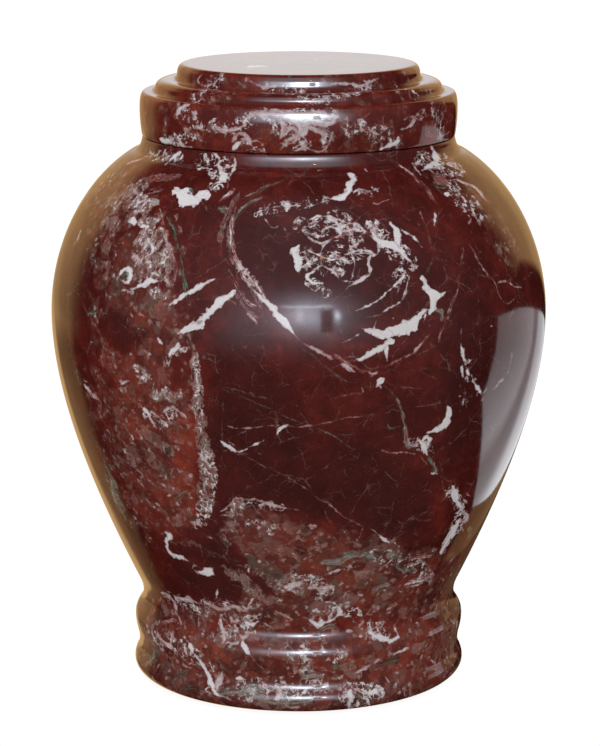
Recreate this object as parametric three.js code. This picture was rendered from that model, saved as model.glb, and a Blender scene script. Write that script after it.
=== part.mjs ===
// A turned stone urn for ashes: a hollow vessel on a moulded foot, and a stepped lid that lifts off.
// Sizes are in millimetres. +Z is up, z = 0 is the surface the urn stands on, and the axis is x = y = 0.
import * as THREE from 'three';

// Flats round each turned piece
const SIDES = 52;

// Outside of the vessel from the underside up: radius r at height z.
// A slope is the change in radius for each millimetre of height.
const UNDERSIDE_R = 61.9;
const FOOT_BEAD = { r: 68.7, z: 5.6 };
const COVE = { r: 66.7, z: 13.1 };
const UPPER_BEAD = { r: 68.3, z: 24.5 };
const NECK = { r: 64.9, z: 33.9 };
const FLARE = { r: 68.8, z: 45.6, slope: 0.48 };
const BELLY = { r: 101.4, z: 153.0 };
const SHOULDER = { r: 69.0, z: 217.9, slope: -1.57 };
const RIM = { r: 63.5, z: 225.0 };
const COLLAR_HEIGHT = 4.0;

// How far each long curve runs on straight before it bends
const FLARE_REACH = 36.1;
const BELLY_REACH_DOWN = 32.7;
const BELLY_REACH_UP = 25.7;
const SHOULDER_REACH = 12.7;

// Inside of the vessel
const WALL = 12.0;
const FLOOR_Z = 18.0;
const FLOOR_R = 41.0;
const INNER_FOOT = { r: 53.0, z: 30.0 };
const INNER_FLARE = { r: 56.6, z: 48.2, slope: 0.48 };
const INNER_BELLY = { r: BELLY.r - WALL, z: BELLY.z };
const INNER_SHOULDER = { r: 60.0, z: 208.8, slope: -1.57 };
const MOUTH = { r: 51.0, z: 213.0 };

// Outside of the lid: each step has a side, a round edge and a crease at the foot of the next step
const JOINT_GAP = 0.3;
const LID_BOTTOM_Z = RIM.z + JOINT_GAP;
const LID_EDGE_R = 63.7;
const LOW_SIDE = { r: 64.5, z: 235.7 };
const LOW_STEP = { r: 62.0, z: 243.0 };
const LOW_CREASE_R = 59.5;
const MIDDLE_SIDE = { r: 58.0, z: 245.0 };
const MIDDLE_STEP = { r: 52.9, z: 247.7 };
const MIDDLE_CREASE_R = 50.3;
const TOP_SIDE = { r: 49.2, z: 250.4 };
const TOP = { r: 46.2, z: 254.0 };

// The plug under the lid, which drops into the mouth
const PLUG_CLEARANCE = 0.5;
const PLUG_DEPTH = 10.0;
const PLUG_CHAMFER = 1.5;

// The small rounding on the two edges that meet at the joint
const EDGE_ROUND = 0.5;

const at = (r, z) => new THREE.Vector2(r, z);

// A curve from one point to another, pulled towards two points on the way
function bend(from, firstPull, secondPull, to, steps) {
  return new THREE.CubicBezierCurve(from, firstPull, secondPull, to).getPoints(steps);
}

// A soft S between two places where the outline runs straight up
function soften(from, to, steps) {
  const reach = 0.45 * (to.z - from.z);
  return bend(at(from.r, from.z), at(from.r, from.z + reach), at(to.r, to.z - reach), at(to.r, to.z), steps);
}

// A quarter round between an upright stretch and a level one
function quarterRound(upright, level, fullness, steps) {
  const upPull = at(upright.r, upright.z + fullness * (level.z - upright.z));
  const levelPull = at(level.r + fullness * (upright.r - level.r), level.z);
  return bend(at(upright.r, upright.z), upPull, levelPull, at(level.r, level.z), steps);
}

// Joins stretches of outline into one list, without the points that two stretches share
function joinOutline(...stretches) {
  const outline = [];
  for (const point of stretches.flat()) {
    const last = outline.at(-1);
    if (!last || last.distanceTo(point) > 1e-6) outline.push(point);
  }
  return outline;
}

// From the flare above the foot out to the belly
function belowBelly(flare, belly, steps) {
  return bend(
    at(flare.r, flare.z),
    at(flare.r + FLARE_REACH * flare.slope, flare.z + FLARE_REACH),
    at(belly.r, belly.z - BELLY_REACH_DOWN),
    at(belly.r, belly.z),
    steps,
  );
}

// From the belly in to the shoulder
function aboveBelly(belly, shoulder, steps) {
  return bend(
    at(belly.r, belly.z),
    at(belly.r, belly.z + BELLY_REACH_UP),
    at(shoulder.r - SHOULDER_REACH * shoulder.slope, shoulder.z - SHOULDER_REACH),
    at(shoulder.r, shoulder.z),
    steps,
  );
}

// The narrow neck above the beads, turning out into the flare
function neckOutline(steps) {
  const rise = FLARE.z - NECK.z;
  return bend(
    at(NECK.r, NECK.z),
    at(NECK.r, NECK.z + 0.4 * rise),
    at(FLARE.r - 0.35 * rise * FLARE.slope, FLARE.z - 0.35 * rise),
    at(FLARE.r, FLARE.z),
    steps,
  );
}

function footOutline() {
  return [
    [at(0, 0)],
    quarterRound(FOOT_BEAD, { r: UNDERSIDE_R, z: 0 }, 0.52, 4).reverse(),
    soften(FOOT_BEAD, COVE, 4),
    soften(COVE, UPPER_BEAD, 5),
    soften(UPPER_BEAD, NECK, 5),
    neckOutline(4),
  ];
}

// The short upright collar under the lid, and the flat rim that the lid rests on
function rimOutline() {
  const collarStart = 1.8;
  return [
    bend(
      at(SHOULDER.r, SHOULDER.z),
      at(SHOULDER.r + collarStart * SHOULDER.slope, SHOULDER.z + collarStart),
      at(RIM.r, RIM.z - COLLAR_HEIGHT),
      at(RIM.r, RIM.z - EDGE_ROUND),
      4,
    ),
    [at(RIM.r - EDGE_ROUND, RIM.z), at(MOUTH.r + EDGE_ROUND, RIM.z), at(MOUTH.r, RIM.z - EDGE_ROUND)],
  ];
}

// The hollow, from the mouth down to the floor
function hollowOutline() {
  const ceiling = bend(
    at(MOUTH.r, MOUTH.z),
    at(MOUTH.r, MOUTH.z - 2.5),
    at(INNER_SHOULDER.r - 5.0, INNER_SHOULDER.z + 3.0),
    at(INNER_SHOULDER.r, INNER_SHOULDER.z),
    2,
  );
  return [
    ceiling,
    aboveBelly(INNER_BELLY, INNER_SHOULDER, 6).reverse(),
    belowBelly(INNER_FLARE, INNER_BELLY, 5).reverse(),
    quarterRound(INNER_FOOT, { r: FLOOR_R, z: FLOOR_Z }, 0.6, 3),
    [at(0, FLOOR_Z)],
  ];
}

function vesselOutline() {
  return joinOutline(
    ...footOutline(),
    belowBelly(FLARE, BELLY, 10),
    aboveBelly(BELLY, SHOULDER, 11),
    ...rimOutline(),
    ...hollowOutline(),
  );
}

function lidUnderside() {
  const plugR = MOUTH.r - PLUG_CLEARANCE;
  const plugZ = LID_BOTTOM_Z - PLUG_DEPTH;
  return [
    at(0, plugZ),
    at(plugR - PLUG_CHAMFER, plugZ),
    at(plugR, plugZ + PLUG_CHAMFER),
    at(plugR, LID_BOTTOM_Z),
    at(LID_EDGE_R - EDGE_ROUND, LID_BOTTOM_Z),
  ];
}

// The tall bottom step of the lid, whose side swells a little
function lowStepSide(steps) {
  return bend(
    at(LID_EDGE_R, LID_BOTTOM_Z + EDGE_ROUND),
    at(LID_EDGE_R + 0.4, LID_BOTTOM_Z + 3.3),
    at(LOW_SIDE.r, LOW_SIDE.z - 3.8),
    at(LOW_SIDE.r, LOW_SIDE.z),
    steps,
  );
}

// The small hollow where the next step rises from the tread of the one below
function coveOnTread(creaseR, treadZ, side, steps) {
  return bend(
    at(creaseR, treadZ),
    at(side.r + 0.35 * (creaseR - side.r), treadZ + 0.3),
    at(side.r + 0.1, side.z - 0.8),
    at(side.r, side.z),
    steps,
  );
}

function lidOutline() {
  return joinOutline(
    lidUnderside(),
    lowStepSide(3),
    quarterRound(LOW_SIDE, LOW_STEP, 0.75, 5),
    coveOnTread(LOW_CREASE_R, LOW_STEP.z, MIDDLE_SIDE, 2),
    quarterRound(MIDDLE_SIDE, MIDDLE_STEP, 0.58, 4),
    coveOnTread(MIDDLE_CREASE_R, MIDDLE_STEP.z, TOP_SIDE, 2),
    quarterRound(TOP_SIDE, TOP, 0.58, 4),
    [at(0, TOP.z)],
  );
}

// Turns an outline round the Z axis
function turned(name, outline, material) {
  const geometry = new THREE.LatheGeometry(outline, SIDES);
  geometry.rotateX(Math.PI / 2);
  const mesh = new THREE.Mesh(geometry, material);
  mesh.name = name;
  return mesh;
}

const darkMarble = new THREE.MeshStandardMaterial({ color: 0x5a211d, roughness: 0.12, metalness: 0.0 });
const redMarble = new THREE.MeshStandardMaterial({ color: 0x6a2a22, roughness: 0.12, metalness: 0.0 });

const urn = new THREE.Group();
urn.add(turned('urn_vessel', vesselOutline(), darkMarble));
urn.add(turned('urn_lid', lidOutline(), redMarble));

export default urn;
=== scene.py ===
import math
import random
from functools import partial

import bpy
import numpy as np
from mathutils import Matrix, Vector, noise


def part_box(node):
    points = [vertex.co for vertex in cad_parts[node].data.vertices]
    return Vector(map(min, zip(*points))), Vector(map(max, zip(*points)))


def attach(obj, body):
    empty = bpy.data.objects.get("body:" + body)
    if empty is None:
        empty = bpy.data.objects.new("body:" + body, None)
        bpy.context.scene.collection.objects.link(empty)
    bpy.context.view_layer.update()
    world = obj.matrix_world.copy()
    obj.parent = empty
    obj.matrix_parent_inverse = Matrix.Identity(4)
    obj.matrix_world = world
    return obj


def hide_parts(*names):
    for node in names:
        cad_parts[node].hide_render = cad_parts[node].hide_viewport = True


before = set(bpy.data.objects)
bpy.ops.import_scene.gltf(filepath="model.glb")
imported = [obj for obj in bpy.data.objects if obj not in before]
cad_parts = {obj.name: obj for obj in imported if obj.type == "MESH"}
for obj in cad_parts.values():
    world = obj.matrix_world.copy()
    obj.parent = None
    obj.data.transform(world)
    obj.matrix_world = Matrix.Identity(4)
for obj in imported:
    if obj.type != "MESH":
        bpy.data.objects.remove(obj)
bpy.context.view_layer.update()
scene = bpy.context.scene


# Camera, as the photograph was taken

PHOTO_W = 600
PHOTO_H = 746
FOCAL_PX = 3000
AXIS_X_PX = 298.6
SENSOR_MM = 36
CAMERA_AT = Vector((0.0, -1.21415, 0.38010))
CAMERA_DOWN = math.radians(11.836)


def make_camera():
    data = bpy.data.cameras.new("photo_camera")
    data.sensor_width = SENSOR_MM
    data.lens = FOCAL_PX / PHOTO_H * SENSOR_MM
    data.shift_x = (PHOTO_W / 2 - AXIS_X_PX) / PHOTO_H
    camera = bpy.data.objects.new("photo_camera", data)
    camera.location = CAMERA_AT
    camera.rotation_euler = (math.pi / 2 - CAMERA_DOWN, 0, 0)
    scene.collection.objects.link(camera)
    scene.camera = camera


make_camera()


# Outlines: radius and height in millimetres, with the sizes of the CAD model

UNDERSIDE_R = 61.9
FOOT_BEAD = (68.7, 5.6)
COVE = (66.7, 13.1)
UPPER_BEAD = (68.3, 24.5)
NECK = (64.9, 33.9)
FLARE = (68.8, 45.6)
FLARE_SLOPE = 0.48
BELLY = (101.4, 153.0)
SHOULDER = (69.0, 217.9)
SHOULDER_SLOPE = -1.57
RIM = (63.5, 225.0)
COLLAR_HEIGHT = 6.2
COLLAR_LEAN = 1.0
FLARE_REACH = 36.1
BELLY_REACH_DOWN = 32.7
BELLY_REACH_UP = 25.7
SHOULDER_REACH = 12.7
COLLAR_START = 1.8

WALL = 12.0
FLOOR_Z = 18.0
FLOOR_R = 41.0
INNER_FOOT = (53.0, 30.0)
INNER_FLARE = (56.6, 48.2)
INNER_BELLY = (BELLY[0] - WALL, BELLY[1])
INNER_SHOULDER = (60.0, 208.8)
MOUTH = (51.0, 213.0)

LID_BOTTOM_Z = RIM[1] + 0.3
LID_EDGE_R = 63.7
LOW_SIDE = (64.5, 235.7)
LOW_STEP = (62.0, 243.0)
LOW_CREASE_R = 59.5
MIDDLE_SIDE = (58.0, 245.0)
MIDDLE_STEP = (52.9, 247.7)
MIDDLE_CREASE_R = 50.3
TOP_SIDE = (49.2, 250.4)
TOP = (46.2, 254.0)
PLUG_R = MOUTH[0] - 0.5
PLUG_Z = LID_BOTTOM_Z - 10.0
PLUG_CHAMFER = 1.5
EDGE_ROUND = 0.5

# How far a quarter round is pulled into its corner: 0.55 makes it a quarter of a circle
CIRCLE = 0.55
FOOT_FULLNESS = 0.52
STEP_FULLNESS = 0.58
LOW_STEP_FULLNESS = 0.75
INNER_FOOT_FULLNESS = 0.6

vessel_low, vessel_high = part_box("urn_vessel")
MM = (vessel_high.x - vessel_low.x) / (2 * BELLY[0])


def bend(start, first_pull, second_pull, end, steps):
    """A curve from start to end, pulled towards two points on the way."""
    t = np.linspace(0, 1, steps + 1)[:, None]
    ends = (1 - t) ** 3 * np.array(start) + t**3 * np.array(end)
    pulls = 3 * (1 - t) ** 2 * t * np.array(first_pull) + 3 * (1 - t) * t**2 * np.array(second_pull)
    return ends + pulls


def line(start, end, steps):
    return bend(start, start, end, end, steps)


def soften(start, end, steps):
    """A soft S between two places where the outline runs straight up."""
    reach = 0.45 * (end[1] - start[1])
    return bend(start, (start[0], start[1] + reach), (end[0], end[1] - reach), end, steps)


def quarter_round(upright, level, fullness, steps):
    up_pull = (upright[0], upright[1] + fullness * (level[1] - upright[1]))
    level_pull = (level[0] + fullness * (upright[0] - level[0]), level[1])
    return bend(upright, up_pull, level_pull, level, steps)


def below_belly(flare, belly, steps):
    flare_pull = (flare[0] + FLARE_REACH * FLARE_SLOPE, flare[1] + FLARE_REACH)
    return bend(flare, flare_pull, (belly[0], belly[1] - BELLY_REACH_DOWN), belly, steps)


def above_belly(belly, shoulder, steps):
    shoulder_pull = (shoulder[0] - SHOULDER_REACH * SHOULDER_SLOPE, shoulder[1] - SHOULDER_REACH)
    return bend(belly, (belly[0], belly[1] + BELLY_REACH_UP), shoulder_pull, shoulder, steps)


def neck_outline(steps):
    rise = FLARE[1] - NECK[1]
    up_pull = (NECK[0], NECK[1] + 0.4 * rise)
    back_pull = (FLARE[0] - 0.35 * rise * FLARE_SLOPE, FLARE[1] - 0.35 * rise)
    return bend(NECK, up_pull, back_pull, FLARE, steps)


def cove_on_tread(crease_r, tread_z, side, steps):
    """The small hollow where the next step of the lid rises from the tread below it."""
    tread_pull = (side[0] + 0.35 * (crease_r - side[0]), tread_z + 0.3)
    return bend((crease_r, tread_z), tread_pull, (side[0] + 0.1, side[1] - 0.8), side, steps)


def join(*stretches):
    """One outline out of several stretches, without the points that two of them share."""
    points = np.concatenate(stretches)
    apart = np.linalg.norm(np.diff(points, axis=0), axis=1) > 1e-4
    return points[np.concatenate([[True], apart])]


def vessel_outline():
    rim_r, rim_z = RIM
    mouth_r, mouth_z = MOUTH
    rim_side = (rim_r, rim_z - EDGE_ROUND)
    rim_top = (rim_r - EDGE_ROUND, rim_z)
    mouth_side = (mouth_r, rim_z - EDGE_ROUND)
    mouth_top = (mouth_r + EDGE_ROUND, rim_z)
    shoulder_pull = (SHOULDER[0] + COLLAR_START * SHOULDER_SLOPE, SHOULDER[1] + COLLAR_START)
    collar_pull = (rim_r + COLLAR_LEAN, rim_z - COLLAR_HEIGHT)
    ceiling_pull = (INNER_SHOULDER[0] - 5.0, INNER_SHOULDER[1] + 3.0)
    base_edge = (UNDERSIDE_R, 0)
    base_inner = (UNDERSIDE_R - 0.6, 0)
    return join(
        line((0, 0), base_inner, 5),
        line(base_inner, base_edge, 1),
        quarter_round(FOOT_BEAD, base_edge, FOOT_FULLNESS, 9)[::-1],
        soften(FOOT_BEAD, COVE, 8),
        soften(COVE, UPPER_BEAD, 10),
        soften(UPPER_BEAD, NECK, 9),
        neck_outline(9),
        below_belly(FLARE, BELLY, 80),
        above_belly(BELLY, SHOULDER, 56),
        bend(SHOULDER, shoulder_pull, collar_pull, rim_side, 16),
        quarter_round(rim_side, rim_top, CIRCLE, 2),
        line(rim_top, mouth_top, 3),
        quarter_round(mouth_side, mouth_top, CIRCLE, 2)[::-1],
        line(mouth_side, MOUTH, 2),
        bend(MOUTH, (mouth_r, mouth_z - 2.5), ceiling_pull, INNER_SHOULDER, 3),
        above_belly(INNER_BELLY, INNER_SHOULDER, 5)[::-1],
        below_belly(INNER_FLARE, INNER_BELLY, 5)[::-1],
        line(INNER_FLARE, INNER_FOOT, 1),
        quarter_round(INNER_FOOT, (FLOOR_R, FLOOR_Z), INNER_FOOT_FULLNESS, 3),
        line((FLOOR_R, FLOOR_Z), (0, FLOOR_Z), 1),
    )


def lid_outline():
    plug_edge = (PLUG_R - PLUG_CHAMFER, PLUG_Z)
    chamfer_top = (PLUG_R, PLUG_Z + PLUG_CHAMFER)
    plug_top = (PLUG_R, LID_BOTTOM_Z)
    rim_edge = (LID_EDGE_R - EDGE_ROUND, LID_BOTTOM_Z)
    side_start = (LID_EDGE_R, LID_BOTTOM_Z + EDGE_ROUND)
    side_pull = (LID_EDGE_R + 0.4, LID_BOTTOM_Z + 3.3)
    top_inner = (TOP[0] - 1.5, TOP[1])
    return join(
        line((0, PLUG_Z), plug_edge, 3),
        line(plug_edge, chamfer_top, 2),
        line(chamfer_top, plug_top, 3),
        line(plug_top, rim_edge, 3),
        quarter_round(side_start, rim_edge, CIRCLE, 2)[::-1],
        bend(side_start, side_pull, (LOW_SIDE[0], LOW_SIDE[1] - 3.8), LOW_SIDE, 10),
        quarter_round(LOW_SIDE, LOW_STEP, LOW_STEP_FULLNESS, 12),
        line(LOW_STEP, (LOW_CREASE_R, LOW_STEP[1]), 2),
        cove_on_tread(LOW_CREASE_R, LOW_STEP[1], MIDDLE_SIDE, 5),
        quarter_round(MIDDLE_SIDE, MIDDLE_STEP, STEP_FULLNESS, 9),
        line(MIDDLE_STEP, (MIDDLE_CREASE_R, MIDDLE_STEP[1]), 2),
        cove_on_tread(MIDDLE_CREASE_R, MIDDLE_STEP[1], TOP_SIDE, 5),
        quarter_round(TOP_SIDE, TOP, STEP_FULLNESS, 9),
        line(TOP, top_inner, 1),
        line(top_inner, (0, TOP[1]), 24),
    )


# Small helpers for node trees

def feed(tree, socket, value):
    """Sets an input to a value, or links it to the output that feeds it."""
    if isinstance(value, bpy.types.NodeSocket):
        tree.links.new(value, socket)
    else:
        socket.default_value = value


def add_node(tree, kind, inputs=None, **settings):
    """A node with its settings and inputs. An input is a value, or the output that feeds it."""
    node = tree.nodes.new(kind)
    for name, value in settings.items():
        setattr(node, name, value)
    for name, value in (inputs or {}).items():
        feed(tree, node.inputs[name], value)
    return node


def math_node(tree, operation, *values):
    node = add_node(tree, "ShaderNodeMath", operation=operation)
    for socket, value in zip(node.inputs, values):
        feed(tree, socket, value)
    return node.outputs[0]


def chained(tree, operation, *values):
    """One result out of two or more values, by an operation that takes two at a time."""
    result = values[0]
    for value in values[1:]:
        result = math_node(tree, operation, result, value)
    return result


def arithmetic(tree):
    """Product, sum and difference in a node tree, each of numbers or outputs."""
    return [partial(chained, tree, operation) for operation in ("MULTIPLY", "ADD", "SUBTRACT")]


def split(tree, vector):
    """The X, Y and Z of a vector."""
    return add_node(tree, "ShaderNodeSeparateXYZ", {"Vector": vector}).outputs


def open_socket(sockets, name):
    """The one of several sockets with the same name that is in use."""
    return next(s for s in sockets if s.name == name and s.enabled)


# Turning: Geometry Nodes carry an outline round the axis

def turning_tree():
    """Turns an outline, which is a chain of points in the XZ plane. Columns is how many flats it gets,
    and front density is how much closer they stand in front."""
    tree = bpy.data.node_groups.new("turned_stone", "GeometryNodeTree")
    times, plus, minus = arithmetic(tree)
    face = tree.interface
    for name, kind in (
        ("Outline", "NodeSocketGeometry"),
        ("Outline points", "NodeSocketInt"),
        ("Columns", "NodeSocketInt"),
        ("Front density", "NodeSocketFloat"),
        ("Stone", "NodeSocketMaterial"),
    ):
        face.new_socket(name, in_out="INPUT", socket_type=kind)
    face.new_socket("Turned", in_out="OUTPUT", socket_type="NodeSocketGeometry")
    given = tree.nodes.new("NodeGroupInput").outputs

    # A flat grid with a row for each point of the outline
    size = {"Vertices X": plus(given["Columns"], 1), "Vertices Y": given["Outline points"]}
    grid = add_node(tree, "GeometryNodeMeshGrid", size)
    uv = split(tree, grid.outputs["UV Map"])
    row = math_node(tree, "ROUND", times(uv["Y"], minus(given["Outline points"], 1)))
    sample = add_node(
        tree,
        "GeometryNodeSampleIndex",
        {"Geometry": given["Outline"], "Index": row},
        data_type="FLOAT_VECTOR",
        domain="POINT",
    )
    place = tree.nodes.new("GeometryNodeInputPosition").outputs[0]
    tree.links.new(place, open_socket(sample.inputs, "Value"))
    outline = split(tree, open_socket(sample.outputs, "Value"))

    # Each row is rolled into a ring of its point's radius
    turn = times(uv["X"], 2 * math.pi)
    crowding = times(math_node(tree, "SINE", turn), given["Front density"])
    angle = plus(turn, crowding)
    x = times(times(outline["X"], -1), math_node(tree, "SINE", angle))
    y = times(outline["X"], math_node(tree, "COSINE", angle))
    spun = add_node(tree, "ShaderNodeCombineXYZ", {"X": x, "Y": y, "Z": outline["Z"]}).outputs[0]

    # The grid's UV map is kept under the name OFBake, and the seam and the poles are welded
    kept_uv = add_node(
        tree,
        "GeometryNodeStoreNamedAttribute",
        {"Geometry": grid.outputs["Mesh"], "Name": "OFBake"},
        data_type="FLOAT2",
        domain="CORNER",
    )
    tree.links.new(grid.outputs["UV Map"], open_socket(kept_uv.inputs, "Value"))
    shape = kept_uv.outputs[0]
    for kind, inputs in (
        ("GeometryNodeSetPosition", {"Position": spun}),
        ("GeometryNodeMergeByDistance", {"Distance": 2e-6}),
        ("GeometryNodeSetShadeSmooth", {"Shade Smooth": True}),
        ("GeometryNodeRealizeInstances", {}),
        ("GeometryNodeSetMaterial", {"Material": given["Stone"]}),
    ):
        shape = add_node(tree, kind, {"Geometry": shape, **inputs}).outputs[0]
    result = tree.nodes.new("NodeGroupOutput")
    tree.links.new(shape, result.inputs["Turned"])
    return tree


def turn(name, outline, columns, front_density, stone):
    """A plain closed mesh, turned from an outline in millimetres by the turning tree."""
    chain = bpy.data.meshes.new(name + "_outline")
    points = [(r * MM, 0, z * MM) for r, z in outline]
    chain.from_pydata(points, [(i, i + 1) for i in range(len(points) - 1)], [])
    blank = bpy.data.objects.new(name + "_outline", chain)
    scene.collection.objects.link(blank)
    modifier = blank.modifiers.new("turning", "NODES")
    modifier.node_group = turning
    settings = (len(points), columns, front_density, stone)
    sizes = dict(zip(("Outline points", "Columns", "Front density", "Stone"), settings))
    for socket in turning.interface.items_tree:
        if socket.name in sizes:
            modifier[socket.identifier] = sizes[socket.name]
    bpy.context.view_layer.update()
    evaluated = blank.evaluated_get(bpy.context.evaluated_depsgraph_get())
    mesh = bpy.data.meshes.new_from_object(evaluated)
    mesh.name = name
    blank.modifiers.remove(modifier)
    bpy.data.objects.remove(blank)
    piece = bpy.data.objects.new(name, mesh)
    scene.collection.objects.link(piece)
    return piece


# Tones of the veins, on one scale that the stone's shader turns into colours

DARK = 0.0
MAROON = 0.1
MOSS = 0.2
GREEN = 0.3
GREY = 0.4
ASH = 0.5
BRICK = 0.6
ROSE = 0.7
PINK = 0.8
PALE = 0.9
WHITE = 1.0

TONE_COLOURS = {
    DARK: (34, 13, 11),
    MAROON: (58, 17, 15),
    MOSS: (62, 60, 54),
    GREEN: (88, 122, 96),
    GREY: (112, 105, 100),
    ASH: (158, 152, 147),
    BRICK: (128, 46, 32),
    ROSE: (140, 70, 66),
    PINK: (176, 136, 134),
    PALE: (194, 182, 185),
    WHITE: (222, 219, 218),
}

# Veins of the front: a tone, then points (x, y, half width) in pixels of the photograph

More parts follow.
